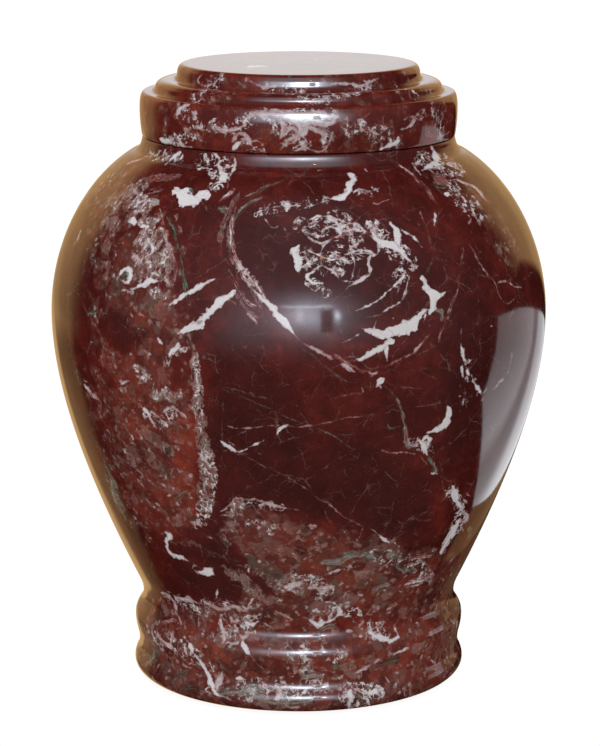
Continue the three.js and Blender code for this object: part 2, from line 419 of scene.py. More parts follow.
BELLY_VEINS = {
    "white blob, left lobe": (WHITE, (177, 190, 5), (181, 195, 9.5), (184, 200, 7)),
    "two-lobed blob, left lobe": (WHITE, (175, 192, 4), (183, 196, 9), (190, 200, 7), (197, 200, 4)),
    "two-lobed blob, right lobe": (WHITE, (196, 196, 3), (203, 195, 6), (209, 195, 3)),
    "two-lobed blob, notch": (MAROON, (189, 187, 1), (193, 191, 2.5), (195, 196, 1)),
    "hook at the neck": (WHITE, (181, 151, 1), (178, 154, 2), (165, 165, 0.8)),
    "scribble at the neck": (PALE, (152, 153, 0.8), (158, 157, 1), (168, 152, 0.8), (162, 158, 0.6)),
    "pink diagonal, left shoulder": (PINK, (123, 164, 1), (136, 160, 2), (150, 155, 1)),
    "brick patch, left shoulder": (BRICK, (147, 180, 3), (164, 178, 4), (180, 175, 2)),
    "grey streak, left shoulder": (ASH, (120, 196, 1), (131, 190, 1.6), (143, 183, 0.8)),
    "second grey streak": (PALE, (146, 194, 0.8), (163, 190, 1)),
    "sliver one": (WHITE, (131, 206, 0.8), (139, 192, 1)),
    "sliver two": (WHITE, (137, 204, 1), (145, 200, 0.6)),
    "ringed oval, ring": (PALE, (155, 201, 5.5), (156, 202, 5.5)),
    "ringed oval, heart": (GREY, (155, 201, 3.8), (156, 202, 3.8)),
    "white patch, left one": (WHITE, (130, 222, 4), (134, 222, 4)),
    "white patch, left two": (WHITE, (143, 227, 3.5), (147, 227, 3.5)),
    "white streak, left": (WHITE, (146, 238, 1), (153, 250, 1.6), (144, 259, 0.8)),
    "pink spot, left": (PINK, (133, 257, 3), (137, 257, 3)),
    "white spot, left": (PALE, (147, 262, 2.5), (150, 262, 2.5)),
    "dark eye, rim": (WHITE, (119, 276, 1), (124, 268, 2.5), (131, 272, 2.5), (128, 282, 2), (120, 280, 1)),
    "dark eye, heart": (MOSS, (123, 276, 3.5), (126, 274, 3.5)),
    "star, left": (WHITE, (120, 291, 0.8), (138, 287, 2), (152, 281, 3), (158, 281, 1)),
    "pink band": (PINK, (160, 209, 1.2), (167, 242, 2), (175, 267, 2), (172, 283, 1.2)),
    "dark side of the pink band": (MOSS, (168, 217, 2), (178, 242, 2.5), (183, 267, 2.5), (186, 300, 2)),
    "grey eye": (GREY, (167, 264, 3), (169, 266, 3)),
    "flank stroke": (PALE, (81, 230, 1), (78, 238, 1.5), (74, 246, 0.8)),
    "slanting white, upper": (
        WHITE, (168, 306, 0.8), (177, 300, 2.2), (190, 292, 2.6), (203, 284, 2.4), (215, 279, 0.8),
    ),
    "slanting white, lower": (
        WHITE, (176, 335, 0.8), (183, 331, 2), (191, 327, 4), (199, 323, 5), (207, 316, 5),
        (215, 307, 5), (224, 300, 4.2), (234, 291, 2.5),
    ),
    "eye in the slanting white": (ROSE, (193, 323, 0.8), (199, 322, 2.2), (205, 321, 0.8)),
    "heart of that eye": (DARK, (196, 322.5, 0.4), (199, 322, 1.2), (203, 321.5, 0.4)),
    "tan hairline": (PINK, (190, 301, 0.4), (200, 299, 0.4), (208, 299, 0.4), (219, 296, 0.5)),
    "spur under the slanting white": (PALE, (230, 300, 0.8), (236, 305, 0.8)),
    "branching white, stem": (
        WHITE, (213, 153, 1), (220, 159, 1.5), (218, 165, 1.5), (222, 171, 3), (224, 177, 5),
    ),
    "branching white, root": (WHITE, (224, 178, 5), (218, 182, 2), (212, 184, 0.8)),
    "branching white, arm one": (WHITE, (234, 157, 1), (235, 166, 1.4), (229, 178, 1)),
    "branching white, arm two": (PALE, (228, 181, 0.8), (227, 189, 0.6)),
    "pink foot of the branch": (PINK, (234, 190, 2), (227, 196, 2.5), (219, 202, 1.5)),
    "grey patch by the branch": (GREY, (221, 208, 3.5), (225, 208, 3.5)),
    "brick band": (BRICK, (239, 193, 2), (226, 220, 3), (221, 232, 3), (220, 242, 2)),
    "pink tail of the brick band": (PINK, (222, 242, 1.2), (221, 257, 0.8)),
    "grey-pink vein at the neck": (ASH, (288, 178, 0.8), (265, 187, 1.2), (255, 193, 1.2), (245, 197, 0.8)),
    "grey blade": (GREY, (262, 197, 1), (245, 206, 2), (235, 220, 1.2)),
    "heart, left arc": (
        PINK, (236, 208, 1), (232, 220, 2), (231, 237, 2.4), (234, 255, 2.4), (244, 270, 2.6),
        (253, 280, 2.4), (261, 292, 2), (266, 300, 1.4),
    ),
    "heart, red core": (
        BRICK, (229, 224, 0.8), (228, 238, 1.2), (231, 256, 1.6), (239, 270, 1.8), (249, 284, 1.8),
        (255, 296, 1.6), (262, 309, 1.4), (262, 318, 1),
    ),
    "heart, outer branch": (
        PINK, (229, 270, 0.8), (236, 283, 1.2), (243, 296, 1.6), (249, 303, 1.8), (256, 306, 1),
    ),
    "heart, inner red": (
        BRICK, (235, 292, 1.6), (241, 301, 2), (247, 309, 2), (254, 315, 1.8), (260, 319, 1),
    ),
    "heart, inner pale": (PALE, (245, 309, 0.8), (251, 316, 1.4), (257, 324, 1)),
    "heart, wedge": (
        WHITE, (253, 290, 1), (263, 299, 1.8), (270, 306, 3), (276, 313, 4), (283, 320, 3.6),
        (289, 327, 2), (295, 335, 1),
    ),
    "heart, thin joint": (PALE, (294, 334, 1), (301, 341, 0.9), (307, 346, 1.2)),
    "heart, lower pale": (PALE, (307, 346, 1.2), (317, 350, 2), (326, 355, 2.4), (333, 359, 1.4)),
    "heart, lower grey line": (
        GREY, (302, 349, 0.5), (312, 355, 0.6), (323, 365, 0.7), (338, 376, 0.8), (349, 382, 0.9),
        (357, 382, 0.6),
    ),
    "heart, tip red": (ROSE, (333, 354, 1.6), (342, 360, 2), (354, 367, 2), (363, 372, 1.4), (372, 370, 1)),
    "heart, tip white": (PALE, (342, 364, 1.6), (349, 368, 2.8), (355, 372, 1.2)),
    "heart, tip pink": (PALE, (366, 371, 1.4), (372, 374, 2), (377, 372, 1.4)),
    "fine white over the heart": (
        WHITE, (255, 213, 0.7), (275, 207, 0.9), (291, 206, 0.8), (302, 203, 0.6),
    ),
    "fine white, second": (WHITE, (298, 210, 0.5), (323, 202, 0.7), (340, 195, 0.7)),
    "bits inside the heart": (PALE, (265, 219, 0.9), (274, 229, 0.5), (281, 224, 0.8), (288, 235, 0.6)),
    "net one": (PALE, (336, 216, 0.4), (344, 224, 0.5), (353, 231, 0.5), (362, 236, 0.4)),
    "net two": (PALE, (342, 240, 0.4), (350, 228, 0.5), (360, 217, 0.4)),
    "net three": (PALE, (330, 246, 0.4), (343, 250, 0.5), (356, 243, 0.5), (366, 226, 0.4)),
    "bow": (
        WHITE, (349, 174, 2.4), (355, 177, 3.2), (350, 184, 3.4), (349, 191, 3.6), (342, 197, 3),
        (331, 199, 1.2),
    ),
    "bow, arm": (WHITE, (353, 193, 0.9), (358, 189, 0.9), (373, 191, 0.8), (379, 188, 0.5)),
    "comma": (PALE, (365, 169, 1.4), (367, 171, 1.2)),
    "tick": (PALE, (373, 203, 0.8), (378, 204, 0.7), (390, 199, 0.5)),
    "oval": (WHITE, (434.6, 213, 1.2), (434.6, 219, 2.4), (434.6, 225, 1.2)),
    "dots at the upper right": (PALE, (411, 185, 1), (412, 185.6, 1)),
    "pink line, upper right": (
        PINK, (385, 153, 0.8), (395, 163, 1), (408, 171, 1.4), (420, 182, 1.6), (428, 191, 1.4),
        (436, 203, 1),
    ),
    "white beside it": (WHITE, (412, 163, 0.8), (422, 177, 0.9)),
    "triangle": (WHITE, (431, 146, 1), (434, 153, 2.4), (437, 160, 5), (431, 165, 3), (421, 170, 1)),
    "triangle, back": (PALE, (448, 164, 3), (452, 165, 2)),
    "brick spot": (BRICK, (437, 179, 4), (445, 181, 4)),
    "spot, moss edge": (MOSS, (431, 184, 1), (440, 188, 1.6), (449, 186, 1)),
    "small white, right": (WHITE, (446, 194, 2.6), (449, 195, 2)),
    "vein, right shoulder": (PALE, (457, 179, 1), (476, 188, 1.4), (484, 198, 1.4), (491, 203, 0.8)),
    "flecks, right shoulder": (PALE, (461, 202, 0.9), (466, 206, 0.5), (473, 211, 0.9), (469, 225, 0.7)),
    "slab under the ring": (
        WHITE, (373, 237, 2), (381, 242, 3.4), (391, 244, 4.2), (401, 253, 3.6), (412, 262, 1.8),
    ),
    "dark in the slab": (MAROON, (379, 240, 0.6), (388, 245, 1), (396, 251, 0.6)),
    "stem down": (
        WHITE, (377, 238, 1), (378, 253, 1.3), (369, 257, 1.2), (369, 267, 1.5), (371, 273, 1.5),
        (357, 282, 1.6), (347, 287, 0.8),
    ),
    "cross line": (WHITE, (378, 254, 0.8), (365, 253, 0.7), (352, 254, 0.5)),
    "lilac dot": (PALE, (413, 265, 3.4), (415, 267, 3.4)),
    "strand one": (WHITE, (406, 270, 1), (403, 277, 1.3), (395, 285, 1.2), (386, 293, 0.7)),
    "strand two": (
        WHITE, (409, 276, 0.8), (405, 293, 1), (400, 302, 0.9), (388, 309, 1.2), (381, 313, 0.8),
    ),
    "strand three": (PALE, (401, 283, 0.6), (396, 295, 0.6)),
    "strand four": (WHITE, (389, 290, 0.8), (379, 299, 1), (369, 305, 0.9), (355, 311, 0.6)),
    "strand five": (PALE, (408, 289, 0.6), (405, 297, 0.8), (401, 302, 0.5)),
    "strand six": (PALE, (384, 314, 0.6), (375, 316, 0.7), (367, 317, 0.5)),
    "strand seven": (WHITE, (359, 334, 1), (349, 340, 0.9), (341, 343, 0.5)),
    "finger": (WHITE, (422, 277, 2.4), (426, 286, 3.6), (432, 296, 3.6), (434, 303, 1.8)),
    "bird, tail tip": (WHITE, (361, 328, 0.8), (369, 331, 3), (379, 334, 4.6), (388, 334, 6)),
    "bird, body": (
        WHITE, (386, 333, 5), (392, 330, 7), (399, 329, 8.5), (406, 328, 8.5), (412, 324, 6.5),
        (417, 319, 5.4), (422, 314, 4.6), (426, 310, 2.5),
    ),
    "bird, back slit": (MAROON, (381, 325, 0.5), (388, 323.6, 1), (397, 321, 0.5)),
    "bird, throat flecks": (MOSS, (418, 319, 0.5), (421, 314, 1), (424, 311, 0.8)),
    "bird, head": (
        WHITE, (427, 291, 1.5), (432, 294, 5.6), (434, 300, 5.6), (432, 307, 4.4), (429, 314, 1.4),
    ),
    "bird, crest": (WHITE, (438, 295, 2.4), (442, 295, 1.6), (446, 292, 0.8)),
    "bird, wing": (WHITE, (377, 320, 0.8), (375, 325, 1.2), (373, 330, 1.4)),
    "bird, tail": (
        WHITE, (392, 341, 4), (380, 347, 3.4), (371, 352, 2.8), (362, 358, 2.6), (357, 359, 1.2),
    ),
    "bird, tail end": (PALE, (355, 357, 1), (349, 357, 0.8)),
    "bird, leg": (WHITE, (388, 341, 3), (387, 350, 2.2), (387, 356, 1.6), (387, 361, 0.9)),
    "grey haze by the head": (GREY, (435, 311, 1), (441, 312, 3), (442, 320, 2)),
    "heart, right pink one": (
        PINK, (463, 246, 0.6), (460, 272, 0.7), (457, 293, 0.7), (453, 302, 0.8), (449, 315, 0.8),
        (446, 322, 0.9), (441, 333, 0.7), (439, 342, 0.6),
    ),
    "heart, right pink two": (PINK, (454, 295, 0.5), (449, 309, 0.7), (447, 320, 0.8)),
    "heart, right lower": (
        PINK, (431, 333, 0.6), (422, 343, 0.8), (413, 353, 1.4), (403, 358, 1.5), (395, 362, 1.1),
        (387, 366, 1.2), (378, 368, 1.2),
    ),
    "heart, right white": (WHITE, (421, 344, 0.9), (413, 352.5, 1.1), (404, 358, 1)),
    "heart, right grey": (GREY, (437, 345, 0.5), (425, 351, 0.7), (417, 355, 0.6)),
    "pink dot under it": (PINK, (408, 363, 1.4), (411, 362, 1)),
    "junction": (WHITE, (377, 386, 1.8), (379, 382, 3), (383, 379, 2.4)),
    "junction, foot": (WHITE, (380, 385, 1.2), (381, 389, 0.8)),
    "left of the junction": (PALE, (362, 388, 1), (363.5, 393, 0.9)),
    "line left of the junction": (GREY, (364, 388, 0.5), (370, 387, 0.5), (376, 387, 0.5)),
    "pink haze left of it": (ROSE, (330, 399, 0.9), (345, 396, 0.9), (362, 393, 0.7)),
    "grey vein": (
        ASH, (385, 386, 0.8), (395, 395, 1.1), (399, 402, 1.2), (401, 410, 1.4), (404, 421, 2.2),
        (406, 433, 2.2), (407, 443, 2.6), (409, 449, 1.5),
    ),
    "grey vein, dark side": (
        MOSS, (392, 396, 0.6), (396, 404, 0.8), (397, 412, 0.8), (401, 424, 1), (402, 438, 1),
    ),
    "pink dash": (PINK, (400, 387, 0.5), (410, 388, 0.8), (420, 388, 0.4)),
    "thin branch": (GREY, (387, 422, 0.5), (390, 428, 0.5), (401, 426, 0.5)),
    "long hairline one": (PINK, (222, 441, 0.4), (238, 435, 0.4), (247, 430, 0.4)),
    "white line, start": (
        PALE, (228, 426, 0.8), (234, 428, 1.2), (245, 428, 0.9), (256, 427, 0.5), (267, 426, 0.5),
        (279, 425, 0.5),
    ),
    "white line, drop": (WHITE, (287, 425, 1.8), (281, 429, 2), (275, 436, 0.6)),
    "white line, middle": (
        PALE, (288, 425.5, 0.5), (299, 427, 0.8), (309, 425.5, 1), (317, 425, 0.5), (324, 422.5, 1.3),
        (331, 422.5, 0.8),
    ),
    "white line, end": (PINK, (331, 422, 0.5), (341, 419, 0.5), (356, 416, 0.5), (376, 416, 0.4)),
    "v shape, left": (WHITE, (221, 441, 1), (230, 448, 1.5), (239, 452, 1.6), (248, 448, 1)),
    "v shape, right": (WHITE, (247, 448, 1), (256, 444, 1.3), (264, 440, 0.7)),
    "v shape, inner": (PALE, (228, 441.5, 0.5), (238, 448, 0.7)),
    "diagonal, upper": (
        GREY, (219, 386, 0.5), (239, 396, 0.6), (261, 405, 0.6), (285, 416, 0.5), (304, 424, 0.5),
        (330, 434, 0.7), (352, 449, 0.7),
    ),
    "diagonal, lower": (
        PINK, (239, 453, 0.4), (257, 462, 0.5), (273, 470, 0.5), (289, 478, 0.6), (302, 486, 0.7),
        (312, 493, 0.9), (321, 500, 0.8), (327, 502, 0.8), (335, 509, 0.9), (343, 516, 0.9),
        (360, 525, 0.8),
    ),
    "spur of the diagonal": (PINK, (322, 499, 0.5), (332, 497, 0.5), (336, 495, 0.6)),
    "patch, top": (
        WHITE, (447.5, 407, 2.4), (448, 413, 3.2), (447, 420, 3.4), (443, 426, 3.8), (438, 430, 3.6),
    ),
    "patch, tail": (WHITE, (438, 429, 3), (433, 430, 2), (427, 433, 1)),
    "patch, lower bits": (WHITE, (420, 442, 1), (427, 437, 2), (431, 440, 2), (429, 444, 2)),
    "patch, hair": (PINK, (450, 406, 0.6), (456, 404, 0.6), (460, 406, 0.5)),
    "bits to the grey vein": (PALE, (406, 442, 1), (414, 446, 1.4), (419, 445, 1)),
    "right string, top": (PALE, (461.6, 328, 0.7), (461, 340, 0.7)),
    "right string": (WHITE, (461.6, 344, 1.2), (462.7, 350, 2), (463, 356, 1.6), (465, 362, 0.8)),
    "right string, middle": (WHITE, (462.5, 365, 1), (461.6, 371, 1.5), (463, 377, 0.9)),
    "right string, side": (WHITE, (467, 369, 0.9), (468.5, 373, 1.4), (470, 377, 0.9)),
    "right string, bar": (PALE, (466.7, 381.5, 0.8), (473, 380.6, 0.9)),
    "right v, left arm": (WHITE, (471.5, 375, 1.2), (475, 383, 1.6), (479, 391, 1.7), (481.5, 395, 0.9)),
    "right v, corner": (WHITE, (482, 394, 1.2), (487, 388, 0.9)),
    "right v, right arm": (
        PALE, (489, 391, 0.6), (495, 388, 0.7), (502, 380, 1.2), (508, 371, 0.8), (511, 361, 0.7),
        (512.7, 351, 0.6),
    ),
    "right v, under": (PALE, (480, 401, 0.9), (484.5, 398, 0.8)),
    "right curl": (PALE, (464, 388, 0.6), (466, 394, 0.6), (463, 400, 0.5), (470, 398.5, 0.5)),
    "dots, right": (PALE, (459.6, 385, 0.9), (460, 386, 0.9)),
    "dots, right lower": (PALE, (459.6, 396, 1), (460, 396.6, 1)),
    "faint line, far right": (PALE, (497, 290, 0.5), (503, 302, 0.6), (509, 303.5, 0.6), (515, 298, 0.4)),
    "hairline, right": (
        PINK, (469, 243, 0.6), (481, 265, 0.7), (486, 272, 0.9), (495, 283, 0.6), (501, 300, 0.5),
    ),
    "hairline, right two": (ROSE, (442, 258, 0.5), (448, 283, 0.4)),
    "hairline, right three": (ROSE, (420, 211, 0.5), (428, 232, 0.6), (434, 252, 0.4)),
    "flecks, far right": (PALE, (498, 283, 0.9), (505, 281, 0.9), (516, 287, 0.7), (522, 287, 0.6)),
    "white dot, far right": (PALE, (505, 243, 1.2), (505, 245, 1)),
    "dot, right field": (PALE, (491, 325, 1.2), (491.6, 326, 1)),
    "left hairline": (
        PINK, (77.6, 293, 0.4), (84, 306, 0.5), (91, 319, 0.5), (97, 328, 0.5), (103, 337, 0.4),
    ),
    "left moss": (MOSS, (89, 312, 4.5), (95, 309, 4)),
    "left flecks one": (PINK, (131, 314, 1.6), (133, 318, 1)),
    "left flecks two": (PINK, (139.5, 312, 1.6), (144, 316.5, 1.8)),
    "left flecks three": (WHITE, (137.8, 330, 0.8), (138.4, 328, 0.8)),
    "left flecks four": (WHITE, (143, 329.5, 0.8), (144.4, 331, 1)),
    "left sliver": (WHITE, (158, 337, 0.8), (160, 341, 1.5), (163, 345, 0.6)),
    "left comma": (WHITE, (178, 343, 2), (178, 347, 2.8), (172, 350, 2.6), (169, 356, 1)),
    "left y": (WHITE, (166.5, 360, 1), (168.4, 366, 0.7)),
    "left y, arm": (WHITE, (170.5, 360.5, 0.8), (168.5, 363, 0.8)),
    "left loop": (PINK, (118, 357, 0.7), (121, 354.5, 0.7), (122, 358, 0.6), (120, 363, 0.6)),
    "left grey dot": (ASH, (130, 354, 1.7), (131.4, 355, 1.7)),
    "left white dash": (PALE, (145, 350, 0.8), (146.6, 354, 0.9)),
    "left speckled mark": (ASH, (140, 366, 1), (144, 371, 1.4), (146, 378, 1.2)),
    "left pale mark": (PALE, (121.4, 384, 1.4), (126, 382, 2), (130.4, 380, 0.8)),
    "left edge grey": (ASH, (76.5, 369, 1), (78, 376, 1.2), (80.6, 385, 1.2)),
    "left lilac": (PALE, (84, 384, 0.8), (88.8, 390, 1.6), (94, 396, 2), (99.5, 401.6, 0.5)),
    "left star": (ASH, (84.5, 380, 1.6), (87, 381.5, 1.6)),
    "left hairline two": (PINK, (105, 405, 0.5), (108.4, 410, 0.5), (111.4, 416, 0.4)),
    "left long white": (WHITE, (143.5, 408, 1.4), (148, 415, 2.8), (151.6, 422, 1.9), (156.4, 429, 0.5)),
    "left arch": (PALE, (162.5, 412, 0.8), (167, 408.6, 2), (174.5, 407.8, 1.7), (179, 411.5, 0.9)),
    "left arch, end": (PALE, (179, 411.5, 0.8), (184.5, 416, 1.8), (186.5, 418.5, 0.7)),
    "left small line": (PALE, (156, 417.6, 0.6), (163.5, 415, 0.7)),
    "left moss patch": (MOSS, (156, 419, 3), (162, 424, 4.5)),
    "left pink smear": (PINK, (125, 426, 1), (131, 437, 1.8), (136.6, 447, 1)),
    "left lower flecks": (PINK, (155, 475.5, 1.6), (163, 475.5, 2)),
    "left lower white": (WHITE, (165, 474.5, 0.9), (166.6, 479, 0.9)),
    "left lower slant": (PINK, (148, 480, 0.6), (155, 485, 0.8), (162, 490, 0.6)),
    "left lower slant two": (PALE, (162.6, 483, 1), (166, 487, 1.3), (168, 490, 0.6)),
    "left pink tick": (PALE, (167.6, 496, 1), (170.8, 495, 1.3)),
    "left green tick": (GREEN, (176, 497.5, 1.6), (181, 493.5, 2.4), (187, 490, 0.8)),
    "left pale drop": (ASH, (179.5, 500.5, 1.8), (181, 502, 1.8)),
    "left two dashes": (PALE, (148.2, 514, 0.8), (149.6, 517.4, 0.7)),
    "flank line one": (PALE, (134.5, 498, 0.8), (140, 504.6, 0.4)),
    "flank line two": (ASH, (131.4, 516.5, 0.4), (136.8, 527, 0.5)),
    "flank grey strip": (
        GREY, (104, 464, 1.8), (109, 475, 3), (113, 488, 3.2), (118, 500, 3.2), (122, 510, 2.6),
        (125, 521, 1.2),
    ),
    "flank grey strip, light": (ASH, (111, 475, 0.7), (115, 482, 1), (117, 493, 0.7)),
    "smear above the arc": (PALE, (188, 521.5, 1), (195, 522.5, 2.6), (200, 526, 2.4), (202.4, 528.4, 0.7)),
    "arc, loop": (WHITE, (162, 534, 0.8), (165, 532, 1.1), (171, 537.4, 2), (166, 540, 1.5)),
    "arc": (
        WHITE, (165.5, 538, 1.2), (167, 544, 2), (166.5, 548, 1.2), (171, 553, 1.9), (180, 557.3, 1.9),
        (189, 561.6, 0.6),
    ),
    "star, arm": (WHITE, (192, 568, 0.8), (194, 565, 1), (197, 566, 0.8)),
    "star, lower arm": (PALE, (193.7, 569.6, 0.8), (199, 573.5, 1.2)),
    "star": (WHITE, (199, 571.5, 2), (204, 572.6, 4.6), (209, 571.4, 4), (215, 575, 0.8)),
    "star, peak": (WHITE, (209, 572, 2), (212, 568, 0.8)),
    "dash over the star": (PALE, (207, 537, 0.8), (213, 538.6, 1)),
    "hair over the star": (PINK, (200.6, 545, 0.5), (202, 556, 0.5)),
    "short white stroke": (WHITE, (217.6, 589, 1.2), (217.4, 594, 1.3), (215.6, 600, 0.6)),
    "edge vein": (
        PALE, (220, 511.6, 0.6), (228.4, 506.3, 1), (234.5, 499, 1), (239, 498, 0.9), (251, 499.6, 1),
        (254, 498.4, 1.4), (259, 500.7, 0.8), (267, 503.4, 1.3), (276, 506.4, 1.5), (284, 508.4, 0.7),
        (302, 510, 0.5),
    ),
    "over the edge vein": (GREY, (241.6, 494, 0.5), (249, 496, 0.6)),
    "under the edge vein": (
        ASH, (240, 510.6, 0.8), (247, 507, 1.2), (253, 505.4, 1.5), (255, 509.4, 1), (263, 516.5, 0.7),
    ),
    "pink line below": (
        PINK, (221, 515.6, 1.2), (227.4, 514.4, 1.4), (234, 518.6, 0.8), (249, 521.6, 0.8), (258, 525, 0.9),
    ),
    "tear": (PALE, (276, 527.6, 1), (281, 528.6, 0.7), (285.6, 529.4, 1.2)),
    "lilac spot": (PALE, (309, 526, 2.2), (315, 526, 3)),
    "white comma below": (PALE, (304, 559.4, 1), (308, 557, 0.9), (314, 555, 0.7)),
    "green spot": (GREEN, (334.6, 538, 2.4), (336, 542, 2.6)),
    "grey-green lens": (
        GREY, (322, 563, 2.6), (334, 563, 4.4), (347, 557.5, 4.6), (361, 554, 3.6), (376, 556, 1.6),
    ),
    "grey-green lens, light": (ASH, (323, 560, 1.2), (333, 562, 1.8), (345, 557, 1.6), (356, 553.6, 1)),
    "line over the lens": (PINK, (330, 550, 0.8), (339, 546, 1.1), (347, 542, 1.2), (360, 543, 0.8)),
    "second lens": (GREY, (384, 557.5, 1.6), (392, 555.6, 3), (402, 557.5, 1.8)),
    "second lens, green": (GREEN, (392, 556, 1.4), (398, 557, 1.6)),
    "root": (
        ASH, (274, 589.5, 3), (283, 582, 3.8), (289, 575.6, 2.8), (292, 569.5, 1.8), (299, 564.6, 1.2),
    ),
    "bar one": (PALE, (286, 587.4, 3.4), (294, 585.2, 3.8), (300, 583.6, 3)),
    "bar two": (PALE, (309, 588, 2), (317, 588.6, 2), (325.5, 588.6, 3), (332.6, 586.6, 2.8)),
    "island in the bar": (PALE, (321, 583, 1.3), (324, 583, 1.5)),
    "grey above the bar": (ASH, (313, 580, 1.6), (318, 576, 2)),
    "pale dash": (PALE, (328, 573, 1), (334, 571.6, 1.3), (341, 569.4, 0.8)),
    "small upright": (WHITE, (249.8, 566.4, 0.8), (248.6, 572.4, 1.2)),
    "round spot": (PALE, (258.6, 561, 2), (259.6, 562, 2)),
    "triangle spot": (PALE, (291.6, 553, 1.5), (297.8, 556.6, 0.7)),
    "double dash": (PINK, (245.7, 554, 1.2), (253, 555.3, 1.3)),
    "hair one": (PINK, (239.6, 530, 0.7), (245, 538.4, 0.7)),
    "hair two": (PINK, (265, 549, 0.9), (277, 553.4, 1.1)),
    "dark chip": (DARK, (292, 548, 2.4), (300, 549, 4), (309, 552.6, 1.6)),
    "dark chip two": (DARK, (402, 547, 1.4), (409, 548, 2.2), (416, 549.6, 1)),
    "column": (GREY, (428.6, 457, 2.2), (433, 465, 2.8), (435.6, 472, 3.6)),
    "column, base": (WHITE, (431.6, 473, 1.1), (436.8, 473.6, 1.2)),
    "column, top": (WHITE, (419.6, 440, 1.8), (424, 446, 2.8), (426.4, 453, 2.2), (428, 456, 1.2)),
    "column, side": (WHITE, (429.6, 440, 1.8), (428, 445, 1.8)),
    "column, grey left": (ASH, (405, 443, 1.6), (411, 446, 1.8), (416, 448, 1.2)),
    "line to the column": (PALE, (381, 450, 0.8), (391, 452.6, 0.8), (403, 452.2, 0.9), (415.6, 454, 0.7)),
    "thread by the column": (PINK, (420, 456, 0.5), (427, 464, 0.5)),
    "thread below": (PINK, (440, 461, 0.6), (442, 474, 0.8), (448, 481, 0.8), (455.6, 479.4, 0.6)),
    "right white, top": (
        WHITE, (452, 486, 1.2), (454.6, 492, 3.2), (454, 499, 3.6), (458.2, 504, 2.8), (462, 510, 1.8),
    ),
    "right white, foot": (PALE, (461, 509, 1.6), (467, 515.6, 2), (466, 520, 2.6), (460.6, 522, 1.8)),
    "right white, side": (PALE, (463, 499.6, 1), (467, 502, 1.1)),
    "right white, flecks": (PALE, (466.6, 493, 1), (470.6, 496, 0.8)),
    "right thread": (GREY, (464, 482.4, 0.6), (472, 484, 0.6)),
    "horn": (
        WHITE, (459.6, 518.6, 1), (456.6, 523.6, 2.8), (453, 530, 3.8), (447.6, 539, 3.6),
        (443.4, 547, 2.4), (439.6, 554.6, 0.8),
    ),
    "horn, shadow": (MOSS, (459.6, 529, 1.2), (455.6, 538, 2.6), (450, 545, 1.4)),
    "horn, curl": (PALE, (461, 526.6, 0.8), (463.6, 531, 1)),
    "right edge drop": (ASH, (470.6, 528, 2.6), (469.6, 534, 2), (468, 539, 0.8)),
    "left comet": (PALE, (369, 527.6, 0.9), (377.6, 534, 1.1)),
    "left comet, head": (WHITE, (377, 533.6, 1), (383.6, 539, 2.4), (389, 542.4, 1)),
    "left comet, tail": (PALE, (395, 543, 1.4), (400, 547.4, 0.8)),
    "thread one": (PINK, (364, 523.6, 0.6), (361, 534, 0.8), (359, 539.4, 0.7)),
    "thread two": (ROSE, (415, 517.6, 0.6), (421.4, 520.6, 0.8), (432, 519.4, 0.5)),
    "thread three": (ROSE, (375, 507.2, 0.6), (391, 508, 0.5)),
    "grey-white bead": (ASH, (354, 571.6, 2.2), (362, 573, 2.2)),
    "grey bead": (GREY, (371, 572.6, 2), (374, 573, 2)),
    "moss lens": (GREY, (397, 567, 2), (404, 570, 3.4), (411, 572, 1.6)),
    "pink smear, right": (PINK, (409, 560.6, 1.4), (421, 557, 2.2), (432, 555, 1)),
    "pink smear, right two": (
        PINK, (405, 586.6, 1.6), (415, 583, 3), (423.6, 579.6, 3), (433.6, 573.6, 1.6),
    ),
    "speckled lens": (GREY, (374, 592, 3), (382, 588, 4.4), (389, 585, 3)),
    "white bead": (PALE, (359, 595, 2.2), (361.6, 595.6, 2)),
}

SHOULDER_VEINS = {
    "shoulder speck": (PALE, (318, 171, 0.5), (326, 169, 0.4)),
    "upper left of the ring": (PALE, (305, 236, 0.5), (315, 243, 0.7), (326, 241, 0.5)),
    "inside the ring one": (PALE, (334, 252, 0.6), (345, 262, 0.8), (356, 262, 0.5)),
    "inside the ring two": (GREY, (306, 254, 0.6), (316, 262, 0.8), (329, 268, 0.6)),
    "inside the ring three": (PALE, (360, 241, 0.6), (353, 254, 0.7), (358, 268, 0.5)),
    "dusty lilac above the ring": (ROSE, (330, 238, 1.4), (345, 234, 1.8), (357, 225, 1.2)),
}

